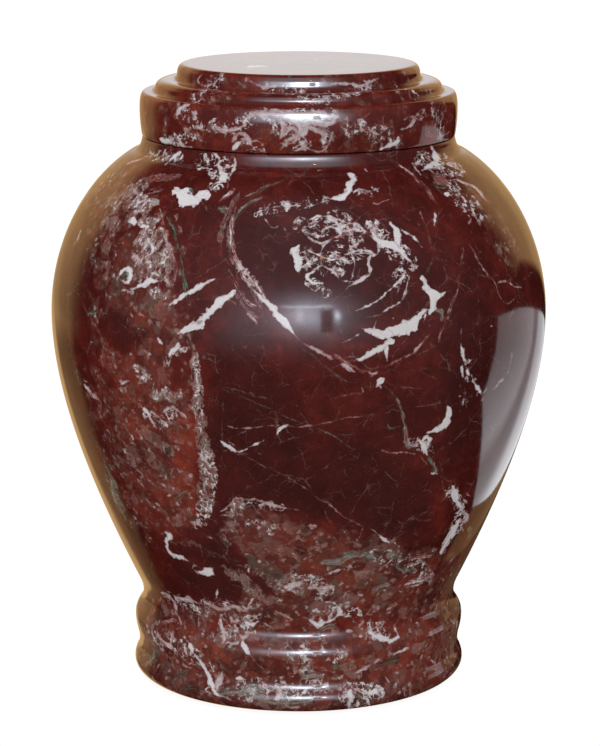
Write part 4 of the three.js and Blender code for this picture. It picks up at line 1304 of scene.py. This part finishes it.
def vertex_rows(mesh, name):
    """A property of the vertices, as rows of three numbers."""
    values = np.zeros(len(mesh.vertices) * 3, np.float32)
    mesh.vertices.foreach_get(name, values)
    return values.reshape(-1, 3).astype(float)


def paint_back(painter, places, normals, front, seed, rows, count):
    """Paints random veins on three sides. They narrow to nothing where the photograph's veins begin."""
    rng = random.Random(seed)
    outside = normals[:, 0] * places[:, 0] + normals[:, 1] * places[:, 1] > -1e-6
    upright = np.abs(normals[:, 2]) <= LEVEL_NORMAL
    azimuth = np.degrees(np.arctan2(places[:, 0], -places[:, 1]))
    hidden = ease(BACK_FACING - front.facing, 0.0, BACK_FACING)
    for centre in (90, 180, 270):
        chart = Chart(places, normals, math.radians(centre))
        apart = np.abs((azimuth - centre + 180) % 360 - 180)
        narrowing = 4 * ease(apart, 38, 50) + 4 * (1 - hidden)
        allowed = (apart < 50) & outside & upright & (chart.facing > 0.05) & (front.facing < BACK_FACING)
        for tone, points in back_veins(rng, *rows, count):
            painter.paint(chart, tone, points, allowed, narrowing)


def shining_rows(places, rows):
    """1 on rows that shine more, given by their heights in millimetres. They fade to the sides, and the
    foot's are weaker."""
    height = places[:, 2] / MM
    azimuth = np.degrees(np.arctan2(places[:, 0], -places[:, 1]))
    shine = sum(ease(height, low - 1, low) * ease(-height, -high - 1, -high) for low, high in rows)
    return np.where(height < FOOT_TOP_MM, 0.45, 1) * shine * (1 - ease(np.abs(azimuth), 10, 25))


def paint_stone(piece, front_sets, crackle, polished, back_seed, back_rows, back_count, broken, redness):
    """Stores the veins and fields of a piece. Broken and redness are what all of it has of those two."""
    mesh = piece.data
    places = vertex_rows(mesh, "co")
    normals = vertex_rows(mesh, "normal")
    painter = VeinPainter(len(places))
    front = Chart(places, normals, 0.0)
    seen = (front.facing > 0.03) & (np.abs(normals[:, 2]) <= LEVEL_NORMAL)
    for veins in front_sets:
        make_path = straight_path if veins is NET_VEINS else smooth_path
        for tone, *points in veins.values():
            painter.paint(front, tone, points, seen, None, make_path)
    top = (normals[:, 2] > LEVEL_NORMAL) & (places[:, 2] > TOP_FROM_MM * MM)
    plan = Plan(places)
    for tone, *points in TOP_VEINS.values():
        painter.paint(plan, tone, points, top)
    paint_back(painter, places, normals, front, back_seed, back_rows, back_count)
    painter.store(mesh)

    shown = ease(front.facing, 0.0, 0.2)
    patches = patchy(places, 0.055, back_seed)
    broad_patches = patchy(places, 0.09, back_seed + 4)
    small_patches = patchy(places, 0.035, back_seed + 9)
    clasts = shown * np.clip(brushed(front, CLAST_FIELDS), 0, 1) * (1 - shown * brushed(front, CLAST_CUTS))
    shift = brushed(front, RED_FIELDS) - brushed(front, DARK_FIELDS)
    hidden = 1 - shown
    fields = {
        "clasts": np.maximum(broken, clasts + hidden * ease(patches, 0.5, 0.75)),
        "mottle": shown * brushed(front, MOTTLE_FIELDS) + hidden * 0.8 * ease(broad_patches, 0.66, 0.8),
        "crackle": shown * brushed(front, crackle) + hidden * 0.62 * ease(small_patches, 0.6, 0.8),
        "polish": shining_rows(places, polished),
        "redness": redness + shown * shift + hidden * (patches - 0.5),
    }
    for name, values in fields.items():
        attribute = mesh.attributes.new(name, "FLOAT", "POINT")
        attribute.data.foreach_set("value", values.astype(np.float32))


# The marble

def rgb(red, green, blue):
    """A colour from its values on a screen, 0 to 255."""
    channels = [v / 255 for v in (red, green, blue)]
    linear = [v / 12.92 if v <= 0.04045 else ((v + 0.055) / 1.055) ** 2.4 for v in channels]
    return (*linear, 1.0)


def colour_ramp(tree, factor, stops, kind="LINEAR"):
    node = add_node(tree, "ShaderNodeValToRGB", {"Fac": factor})
    ramp = node.color_ramp
    ramp.interpolation = kind
    while len(ramp.elements) < len(stops):
        ramp.elements.new(0.5)
    for element, (position, colour) in zip(ramp.elements, stops):
        element.position = position
        element.color = rgb(*colour)
    return node.outputs["Color"]


def mix_colour(tree, factor, first, second):
    node = add_node(tree, "ShaderNodeMix", data_type="RGBA")
    for name, value in (("Factor", factor), ("A", first), ("B", second)):
        feed(tree, open_socket(node.inputs, name), value)
    return open_socket(node.outputs, "Result")


def mix_value(tree, factor, first, second):
    node = add_node(tree, "ShaderNodeMix", data_type="FLOAT")
    for name, value in (("Factor", factor), ("A", first), ("B", second)):
        feed(tree, open_socket(node.inputs, name), value)
    return open_socket(node.outputs, "Result")


def noise_node(tree, vector, size_mm, detail=3.0, roughness=0.55, distortion=0.0):
    inputs = {
        "Vector": vector,
        "Scale": 1.0 / size_mm,
        "Detail": detail,
        "Roughness": roughness,
        "Distortion": distortion,
    }
    return add_node(tree, "ShaderNodeTexNoise", inputs)


def span(tree, value, low, high, out_low=0.0, out_high=1.0, soft=True):
    node = add_node(
        tree,
        "ShaderNodeMapRange",
        {"Value": value, "From Min": low, "From Max": high, "To Min": out_low, "To Max": out_high},
        interpolation_type="SMOOTHSTEP" if soft else "LINEAR",
    )
    return node.outputs["Result"]


def vein_layer_tree():
    """One group of veins laid over a colour. The field holds, in pixels of the photograph, how far a place is
    across its vein and the vein's half width, and then its tone. Shiver and tremor push the vein sideways,
    swell and nibble change its width, grain its tone, and breaks part it."""
    tree = bpy.data.node_groups.new("vein_layer", "ShaderNodeTree")
    times, plus, minus = arithmetic(tree)
    face = tree.interface
    face.new_socket("Ground", in_out="INPUT", socket_type="NodeSocketColor")
    for name in ("Field", "Place in mm"):
        face.new_socket(name, in_out="INPUT", socket_type="NodeSocketVector")
    for name in ("Shiver", "Swell", "Grain", "Breaks", "Tremor", "Nibble"):
        face.new_socket(name, in_out="INPUT", socket_type="NodeSocketFloat")
    face.new_socket("Colour", in_out="OUTPUT", socket_type="NodeSocketColor")
    given = tree.nodes.new("NodeGroupInput").outputs
    field = split(tree, given["Field"])

    # A wide vein sways more than a thin one
    sway = plus(times(field["Y"], 0.28), 0.45)
    shaken = plus(field["X"], times(given["Shiver"], sway), given["Tremor"])
    width = minus(times(field["Y"], given["Swell"]), given["Nibble"])
    inside = minus(width, math_node(tree, "ABSOLUTE", shaken))
    solid = span(tree, field["Z"], 0.77, 0.95, 0.0, 0.95)

    # Strands run along the vein: they change fast across it and slowly from place to place
    sideways = add_node(tree, "ShaderNodeCombineXYZ", {
        "X": times(shaken, 0.7),
        "Y": times(shaken, 0.35),
        "Z": times(field["Z"], 7),
    }).outputs[0]
    shrunk = {0: given["Place in mm"], "Scale": 0.13}
    slowly = add_node(tree, "ShaderNodeVectorMath", shrunk, operation="SCALE")
    along = add_node(tree, "ShaderNodeVectorMath", {0: slowly.outputs[0], 1: sideways}, operation="ADD")
    strands = noise_node(tree, along.outputs[0], 1.0, 2.0, 0.6).outputs[0]

    cover = span(tree, math_node(tree, "DIVIDE", inside, minus(1.5, solid)), -0.8, 0.7)
    thin = span(tree, width, 0.1, 1.3, 0.4, 1.0)
    apart = times(span(tree, strands, 0.34, 0.54), span(tree, given["Breaks"], 0, 1, 0.45, 1.0))
    cover = times(cover, thin, math_node(tree, "MAXIMUM", solid, apart))
    drift = times(minus(strands, 0.5), minus(1.12, solid))
    tone = plus(field["Z"], times(given["Grain"], 0.07), times(drift, 1.1))
    tone = minus(tone, span(tree, inside, 0.2, 1.8, 0.1, 0.0))

    # The tones stand a little inside the ends of the colour ramp
    stops = [(t * 0.98 + 0.01, TONE_COLOURS[t]) for t in sorted(TONE_COLOURS)]
    colour = colour_ramp(tree, plus(times(tone, 0.98), 0.01), stops)
    result = tree.nodes.new("NodeGroupOutput")
    tree.links.new(mix_colour(tree, cover, given["Ground"], colour), result.inputs["Colour"])
    return tree


# Colours of the stone: a place on a noise's scale, then the colour from there on
GROUND = (
    (0.0, (58, 19, 17)), (0.3, (71, 23, 20)), (0.55, (90, 30, 25)), (0.8, (119, 44, 31)),
    (1.0, (146, 56, 35)),
)
CLASTS = (
    (0.0, (110, 50, 39)), (0.22, (80, 35, 30)), (0.42, (101, 59, 50)), (0.58, (134, 64, 49)),
    (0.68, (132, 94, 86)), (0.78, (98, 92, 80)), (0.85, (156, 120, 112)), (0.93, (70, 34, 30)),
)
CHIPS = (
    (0.0, (108, 52, 43)), (0.2, (82, 39, 34)), (0.38, (125, 64, 51)), (0.52, (108, 74, 64)),
    (0.64, (148, 96, 86)), (0.74, (72, 54, 48)), (0.84, (184, 148, 142)), (0.9, (124, 116, 104)),
    (0.97, (214, 204, 200)),
)
MOTTLES = (
    (0.3, (28, 26, 25)), (0.39, (72, 60, 54)), (0.45, (120, 62, 55)), (0.5, (160, 122, 116)),
    (0.56, (88, 80, 72)), (0.62, (172, 150, 146)), (0.7, (222, 216, 214)),
)
CRACKLE_TONES = ((0.36, (124, 88, 86)), (0.47, (172, 152, 152)), (0.58, (222, 218, 218)))
THREAD_COLOUR = (142, 112, 104)


def marble(name):
    """Polished marble. The piece's vertex attributes say where each kind of stone and vein goes."""
    material = bpy.data.materials.new(name)
    material.use_nodes = True
    tree = material.node_tree
    tree.nodes.clear()
    times, plus, minus = arithmetic(tree)

    def scaled(vector, scale):
        inputs = {0: vector, "Scale": scale}
        return add_node(tree, "ShaderNodeVectorMath", inputs, operation="SCALE").outputs[0]

    def moved(vector, offset):
        return add_node(tree, "ShaderNodeVectorMath", {0: vector, 1: offset}, operation="ADD").outputs[0]

    def attribute(field, output="Fac"):
        return add_node(tree, "ShaderNodeAttribute", attribute_name=field).outputs[output]

    def swing(value, amount):
        """A noise centred on nothing, reaching about half the amount either way."""
        return times(minus(value, 0.5), amount)

    def ragged(field, amount):
        """A soft field whose edge follows the grain of the stone."""
        return plus(attribute(field), swing(edge, amount))

    def voronoi(where, size_mm, feature="F1"):
        inputs = {"Vector": where, "Scale": 1 / size_mm}
        return add_node(tree, "ShaderNodeTexVoronoi", inputs, feature=feature).outputs

    def cells(where, size_mm):
        """A random number for each of the stone's cells."""
        colour = voronoi(where, size_mm)["Color"]
        return add_node(tree, "ShaderNodeSeparateColor", {"Color": colour}).outputs[0]

    # Noises by size in millimetres, detail, roughness and distortion
    mm = scaled(tree.nodes.new("ShaderNodeTexCoord").outputs["Object"], 1000.0)
    cloud = noise_node(tree, mm, 9.0, 6.0, 0.62, 0.7).outputs
    fine = noise_node(tree, mm, 1.3, 5.0, 0.65).outputs
    broad = noise_node(tree, mm, 38.0, 3.0).outputs[0]
    edge = noise_node(tree, mm, 5.5, 5.0, 0.62).outputs[0]
    slow_shake = noise_node(tree, mm, 5.0, 2.0).outputs[0]
    quick_shake = noise_node(tree, mm, 1.6, 5.0, 0.7).outputs[0]
    pulse = noise_node(tree, mm, 2.8, 3.0, 0.6).outputs[0]
    wave = noise_node(tree, mm, 3.8, 1.0).outputs[0]

    level = plus(swing(broad, 0.9), swing(cloud[0], 1.1), swing(fine[0], 0.4), 0.36)
    ground = colour_ramp(tree, plus(level, times(attribute("redness"), 0.5)), GROUND)

    # Fine pale threads in the sound stone
    warped = moved(mm, scaled(cloud["Color"], 6.0))
    come_and_go = span(tree, edge, 0.44, 0.62)
    for size, thickness, opacity in ((26.0, 0.011, 0.42), (11.0, 0.015, 0.28), (5.0, 0.02, 0.16)):
        distance = voronoi(warped, size, "DISTANCE_TO_EDGE")["Distance"]
        thread = times(span(tree, distance, 0.0, thickness, opacity, 0.0), come_and_go)
        ground = mix_colour(tree, thread, ground, rgb(*THREAD_COLOUR))

    # Broken stone: coarse pieces with finer chips between them
    jolted = moved(mm, scaled(fine["Color"], 2.4))
    piece_colour = colour_ramp(tree, cells(jolted, 5.6), CLASTS, "CONSTANT")
    chip_colour = colour_ramp(tree, cells(jolted, 1.5), CHIPS, "CONSTANT")
    broken = mix_colour(tree, span(tree, edge, 0.42, 0.62, 0.15, 0.8), piece_colour, chip_colour)
    broken = mix_colour(tree, 0.3, broken, ground)
    colour = mix_colour(tree, span(tree, ragged("clasts", 1.5), 0.42, 0.72, 0.0, 0.85), ground, broken)

    # The grey and pink crumb, drawn out upright
    upright = add_node(tree, "ShaderNodeVectorMath", {0: mm, 1: (1.0, 1.0, 0.4)}, operation="MULTIPLY")
    crumb = noise_node(tree, upright.outputs[0], 2.4, 3.5, 0.62, 1.2).outputs[0]
    amount = span(tree, ragged("mottle", 2.3), 0.45, 0.7, 0.0, 0.85)
    colour = mix_colour(tree, amount, colour, colour_ramp(tree, crumb, MOTTLES))

    # Crackle: pale walls round small cells, thick and thin by turns, at two sizes
    amount = span(tree, ragged("crackle", 1.5), 0.42, 0.62)
    crackle_colour = colour_ramp(tree, quick_shake, CRACKLE_TONES)
    bent = scaled(noise_node(tree, mm, 3.4, 3.0).outputs["Color"], 3.2)
    shaken = moved(moved(mm, bent), scaled(fine["Color"], 0.45))
    for size, thick in ((5.2, 0.16), (2.3, 0.17)):
        distance = voronoi(shaken, size, "DISTANCE_TO_EDGE")["Distance"]
        limit = span(tree, pulse, 0.4, 0.68, -0.05, thick, soft=False)
        wall = span(tree, minus(distance, limit), -0.03, 0.04, 0.95, 0.0)
        colour = mix_colour(tree, times(wall, amount), colour, crackle_colour)

    # The veins, one group over another
    feeds = {
        "Place in mm": mm,
        "Shiver": plus(swing(slow_shake, 3.8), swing(quick_shake, 1.1)),
        "Swell": span(tree, wave, 0.34, 0.66, 0.55, 1.35, soft=False),
        "Grain": swing(fine[0], 1.8),
        "Breaks": span(tree, fine[0], 0.4, 0.58),
        "Tremor": swing(fine[0], 2.4),
        "Nibble": span(tree, pulse, 0.38, 0.6, 0.75, -0.15, soft=False),
    }
    for g in range(GROUPS):
        inputs = {"Ground": colour, "Field": attribute(f"vein_{g}", "Vector"), **feeds}
        layer = tree.nodes.new("ShaderNodeGroup")
        layer.node_tree = vein_layer
        for socket, value in inputs.items():
            feed(tree, layer.inputs[socket], value)
        colour = layer.outputs["Colour"]

    # The polish, which the front's shining rows have a clear coat over
    roughness = span(tree, cloud[0], 0.3, 0.7, 0.06, 0.11, soft=False)
    ripple = noise_node(tree, mm, 7.0, 2.0).outputs[0]
    bump = add_node(tree, "ShaderNodeBump", {"Strength": 0.05, "Distance": 0.0004, "Height": ripple})
    shader = add_node(tree, "ShaderNodeBsdfPrincipled", {
        "Base Color": colour,
        "Roughness": roughness,
        "Normal": bump.outputs["Normal"],
        "IOR": 1.55,
        "Coat Weight": attribute("polish"),
        "Coat IOR": 3.0,
        "Coat Roughness": 0.05,
    })
    output = tree.nodes.new("ShaderNodeOutputMaterial")
    tree.links.new(shader.outputs[0], output.inputs["Surface"])
    return material


# The pieces

# Rows that shine more, by their heights in millimetres
VESSEL_POLISH = ((4.5, 7.5), (10.5, 12.5), (24.0, 27.0), (30.5, 32.5), (220.9, 223.4))
LID_POLISH = ((238.0, 242.0), (245.5, 247.2), (250.0, 252.6))

turning = turning_tree()
vein_layer = vein_layer_tree()
vessel_stone = marble("vessel marble")
lid_stone = marble("lid marble")

vessel = turn("vessel_stone", vessel_outline(), columns=440, front_density=0.4, stone=vessel_stone)
lid = turn("lid_stone", lid_outline(), columns=380, front_density=0.3, stone=lid_stone)
paint_stone(
    vessel,
    front_sets=(BELLY_VEINS, SHOULDER_VEINS, FOOT_VEINS, NET_VEINS),
    crackle=CRACKLE_FIELDS,
    polished=VESSEL_POLISH,
    back_seed=11,
    back_rows=(150, 700),
    back_count=60,
    broken=0.0,
    redness=0.0,
)
paint_stone(
    lid,
    front_sets=(LID_VEINS,),
    crackle=LID_CRACKLE_FIELDS,
    polished=LID_POLISH,
    back_seed=23,
    back_rows=(60, 155),
    back_count=34,
    broken=0.45,
    redness=0.35,
)

for piece, node, slot in ((vessel, "urn_vessel", "vessel_marble"), (lid, "urn_lid", "lid_marble")):
    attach(piece, "root")
    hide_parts(node)


# The floor, the surroundings and the lights

# Colours of the light, as on a screen
WHITE_LIGHT = (255, 255, 255)
WALL_BROWN = (255, 206, 140)
SHEET_WHITE = (248, 250, 255)
FLOOR_WARM = (200, 196, 192)
# The grey of the contact shadow painted on the floor round the urn
PAINTED_SHADOW_GREY = (243, 241, 240)


def emission_material(name, build):
    """A material that only gives off light. build makes its colour and strength in the node tree."""
    material = bpy.data.materials.new(name)
    material.use_nodes = True
    material.cycles.emission_sampling = "NONE"
    tree = material.node_tree
    tree.nodes.clear()
    colour, strength = build(tree)
    shader = add_node(tree, "ShaderNodeEmission", {"Color": colour, "Strength": strength})
    output = tree.nodes.new("ShaderNodeOutputMaterial")
    tree.links.new(shader.outputs[0], output.inputs["Surface"])
    return material


def stage_panel(name, corners, faces, build, only_in_gloss):
    """A flat light source near the urn. It shows either in nothing but the gloss, or in all but that."""
    mesh = bpy.data.meshes.new(name)
    mesh.from_pydata(corners, [], faces)
    mesh.materials.append(emission_material(name, build))
    panel = bpy.data.objects.new(name, mesh)
    scene.collection.objects.link(panel)
    panel.visible_glossy = only_in_gloss
    panel.visible_camera = not only_in_gloss
    panel.visible_diffuse = not only_in_gloss
    panel.visible_shadow = not only_in_gloss


def make_floor():
    """A pale floor. The camera sees it almost white, and it gives the urn a soft warm light from below."""

    def build(tree):
        rays = tree.nodes.new("ShaderNodeLightPath").outputs
        # Painted contact shadow: round the urn the camera's white floor turns grey by ambient occlusion
        shadow_occlusion = add_node(tree, "ShaderNodeAmbientOcclusion", {"Distance": 0.012}, samples=8)
        pale = colour_ramp(tree, shadow_occlusion.outputs["AO"], ((0.0, PAINTED_SHADOW_GREY), (0.7, WHITE_LIGHT)))
        colour = mix_colour(tree, rays["Is Camera Ray"], rgb(*FLOOR_WARM), pale)
        strength = span(tree, rays["Is Camera Ray"], 0, 1, 0.95, 1.05, soft=False)
        return colour, strength

    half = 4.0
    corners = [(x, y, -0.0003) for x, y in ((-half, -half), (half, -half), (half, half), (-half, half))]
    stage_panel("floor", corners, [(0, 1, 2, 3)], build, only_in_gloss=False)


def make_surroundings():
    """White for the camera, even soft light for the stone, and for its gloss a dim room: pale brown walls
    behind and a bright hazy window in front."""
    world = bpy.data.worlds.new("room")
    scene.world = world
    world.use_nodes = True
    world.cycles.sampling_method = "NONE"
    tree = world.node_tree
    tree.nodes.clear()
    rays = tree.nodes.new("ShaderNodeLightPath").outputs
    direction = tree.nodes.new("ShaderNodeTexCoord").outputs["Generated"]
    way = split(tree, direction)
    times, total, minus = arithmetic(tree)

    def angle(opposite, adjacent):
        return times(math_node(tree, "ARCTAN2", opposite, adjacent), 180 / math.pi)

    def hump(value, centre, width):
        """1 at the centre, falling off softly to both sides."""
        off = math_node(tree, "DIVIDE", minus(value, centre), width)
        return math_node(tree, "EXPONENT", times(off, off, -1))

    def band(value, low, high, soft):
        """1 between two limits, each a number or an output, with soft edges."""
        above = span(tree, minus(value, low), -soft, soft)
        below = span(tree, minus(value, high), -soft, soft, 1, 0)
        return times(above, below)

    # Angles in degrees: bearing counts from straight behind the urn, ahead from straight in front of it,
    # both growing to the right, and rise counts up from the horizon
    level = math_node(tree, "SQRT", total(times(way["X"], way["X"]), times(way["Y"], way["Y"])))
    bearing = angle(way["X"], way["Y"])
    ahead = angle(way["X"], times(way["Y"], -1))
    rise = angle(way["Z"], level)
    aside = math_node(tree, "ABSOLUTE", bearing)
    to_right = span(tree, bearing, -1, 1)
    uneven = add_node(tree, "ShaderNodeTexNoise", {"Vector": direction, "Scale": 5.0, "Detail": 3.0})
    uneven = span(tree, uneven.outputs[0], 0.3, 0.7, 0.82, 1.15, soft=False)

    # Brown walls behind, on both sides; lower down on the left they narrow to two stripes
    wall_up = span(tree, rise, -10, 20, 0.66, 0.95)
    wall = times(band(aside, -5, 54, 9), span(tree, rise, 24, 36, 1, 0), wall_up)
    upper_wall = times(wall, span(tree, rise, -14, -9))
    stripes = total(
        times(band(aside, -5, 24, 2), 0.85),
        times(band(aside, 24, 35, 3), 0.25),
        times(band(aside, 35, 50, 4), 0.3),
    )
    low_stripes = times(stripes, band(rise, -24, -11, 3))
    floor_stripe = total(band(aside, -5, 27, 3), times(band(aside, 27, 48, 5), 0.25))
    floor_stripe = times(floor_stripe, band(rise, -36, -24, 3))
    left_side = total(upper_wall, low_stripes, floor_stripe)
    wall_foot = span(tree, bearing, 12, 48, -10, 4.5, soft=False)
    right_side = times(wall, band(rise, wall_foot, 90, 1.2))
    low_right = times(band(aside, -5, 40, 10), band(rise, -30, -17, 4), 0.12)
    walls = total(times(left_side, span(tree, bearing, -1, 1, 1, 0)), times(right_side, to_right), low_right)
    walls = times(walls, uneven)

    # Pale ceiling light straight behind, which the level top of the lid shows
    above = times(hump(bearing, 0, 9), band(rise, 3, 14, 2))
    walls = times(walls, minus(1, above))
    top_light = times(above, 1.1)

    # In front: a hazy window with a bright middle, a thin bright line, a curl, and the dark shape before it
    haze = times(band(ahead, -34, 30, 14), hump(rise, 9, 14), 0.95)
    wide_haze = times(hump(ahead, 0, 60), band(rise, -9, 80, 8), 0.3)
    middle = times(hump(ahead, 4, 13), hump(rise, 11, 8), 6)
    window_line = times(band(ahead, -8, 16, 2), hump(rise, 15.5, 0.5), 8)
    curl = times(hump(ahead, 17.6, 1.2), hump(rise, 10.5, 2.4), 14)
    lamp = times(hump(ahead, 0.5, 1.5), hump(rise, 11, 3.5), 5)
    shape = minus(1, times(band(ahead, 10, 15.6, 0.7), band(rise, 2, 14, 0.8), 0.85))
    window = total(times(total(haze, middle), shape, uneven), wide_haze, window_line, curl, lamp)
    glint = times(hump(ahead, 13.2, 0.55), hump(rise, 41, 0.5), 40)

    room = times(0.08, span(tree, way["Y"], 0.4, -0.4), uneven)
    strength = total(walls, top_light, window, glint, room)

    def share(part):
        return math_node(tree, "DIVIDE", part, math_node(tree, "MAXIMUM", strength, 0.001))

    tint = mix_colour(tree, share(walls), rgb(255, 245, 240), rgb(*WALL_BROWN))
    tint = mix_colour(tree, share(glint), tint, rgb(255, 176, 96))
    tint = mix_colour(tree, share(window), tint, rgb(226, 238, 255))
    tint = mix_colour(tree, share(top_light), tint, rgb(252, 250, 249))

    soft_up = span(tree, way["Z"], -0.6, 0.9, 0.85, 0.9)
    colour = mix_colour(tree, rays["Is Glossy Ray"], rgb(250, 251, 255), tint)
    light = mix_value(tree, rays["Is Glossy Ray"], soft_up, strength)
    background = add_node(tree, "ShaderNodeBackground", {
        "Color": mix_colour(tree, rays["Is Camera Ray"], colour, rgb(*WHITE_LIGHT)),
        "Strength": mix_value(tree, rays["Is Camera Ray"], light, 1.0),
    })
    output = tree.nodes.new("ShaderNodeOutputWorld")
    tree.links.new(background.outputs[0], output.inputs["Surface"])


def make_sheet():
    """A white sheet on the table behind the urn at the right, which only its gloss shows. It is brightest
    near the urn, and the urn's soft shadow lies across it. Its far side stands up a little."""

    def build(tree):
        times, plus, minus = arithmetic(tree)
        spot = split(tree, tree.nodes.new("ShaderNodeTexCoord").outputs["Object"])
        from_x = minus(spot["X"], bright_spot[0])
        from_y = minus(spot["Y"], bright_spot[1])
        away = math_node(tree, "SQRT", plus(times(from_x, from_x), times(from_y, from_y)))
        near = math_node(tree, "EXPONENT", times(away, -5))
        light = plus(times(near, 1.6), 0.85)
        along_x = times(minus(spot["X"], shadow_middle[0]), shadow_normal[0])
        along_y = times(minus(spot["Y"], shadow_middle[1]), shadow_normal[1])
        across = math_node(tree, "ABSOLUTE", minus(along_x, along_y))
        return rgb(*SHEET_WHITE), times(light, span(tree, across, 0.012, 0.06, 0.42, 1.0))

    bright_spot = (0.17, 0.05)
    shadow_middle = (0.29, 0.19)
    shadow_normal = (0.838, 0.546)
    near_side = ((0.15, 0.3), (0.15, 0.1), (0.167, 0.042), (0.237, 0.02), (0.353, -0.012), (0.5, 0.03))
    far_side = (
        (0.66, 0.073, 0.125), (0.65, 0.124, 0.125), (0.61, 0.26, 0.115), (0.55, 0.346, 0.1),
        (0.434, 0.451, 0.07), (0.245, 0.54, 0.04), (0.194, 0.551, 0.03),
    )
    corners = [(x, y, 0.0) for x, y in near_side]
    corners += [(x, y, 0.0) for x, y, _ in far_side]
    corners += list(far_side)
    first, count = len(near_side), len(far_side)
    flat = tuple(range(first + count))
    raised = [(i, i + 1, i + count + 1, i + count) for i in range(first, first + count - 1)]
    stage_panel("white sheet", corners, [flat, *raised], build, only_in_gloss=True)


def make_ledge():
    """A low brown ledge at the right, which keeps the white sheet out of the gloss of the foot."""

    def build(tree):
        return rgb(*WALL_BROWN), 0.3

    ends = ((0.118, 0.0), (0.125, 0.06), (0.145, 0.3))
    corners = [(x, y, z) for z in (0.0, 0.041) for x, y in ends]
    stage_panel("ledge", corners, [(0, 1, 4, 3), (1, 2, 5, 4)], build, only_in_gloss=True)


def make_lamp():
    """A large soft lamp from the upper left in front. The gloss doesn't show it."""
    data = bpy.data.lights.new("soft lamp", "AREA")
    data.size = 1.2
    data.energy = 10
    lamp = bpy.data.objects.new("soft lamp", data)
    lamp.location = (-0.9, -1.7, 1.3)
    lamp.rotation_euler = Vector((0.9, 1.7, -1.2)).to_track_quat("-Z", "Y").to_euler()
    lamp.visible_glossy = False
    scene.collection.objects.link(lamp)


make_floor()
make_sheet()
make_ledge()
make_surroundings()
make_lamp()
scene.view_settings.view_transform = "Standard"
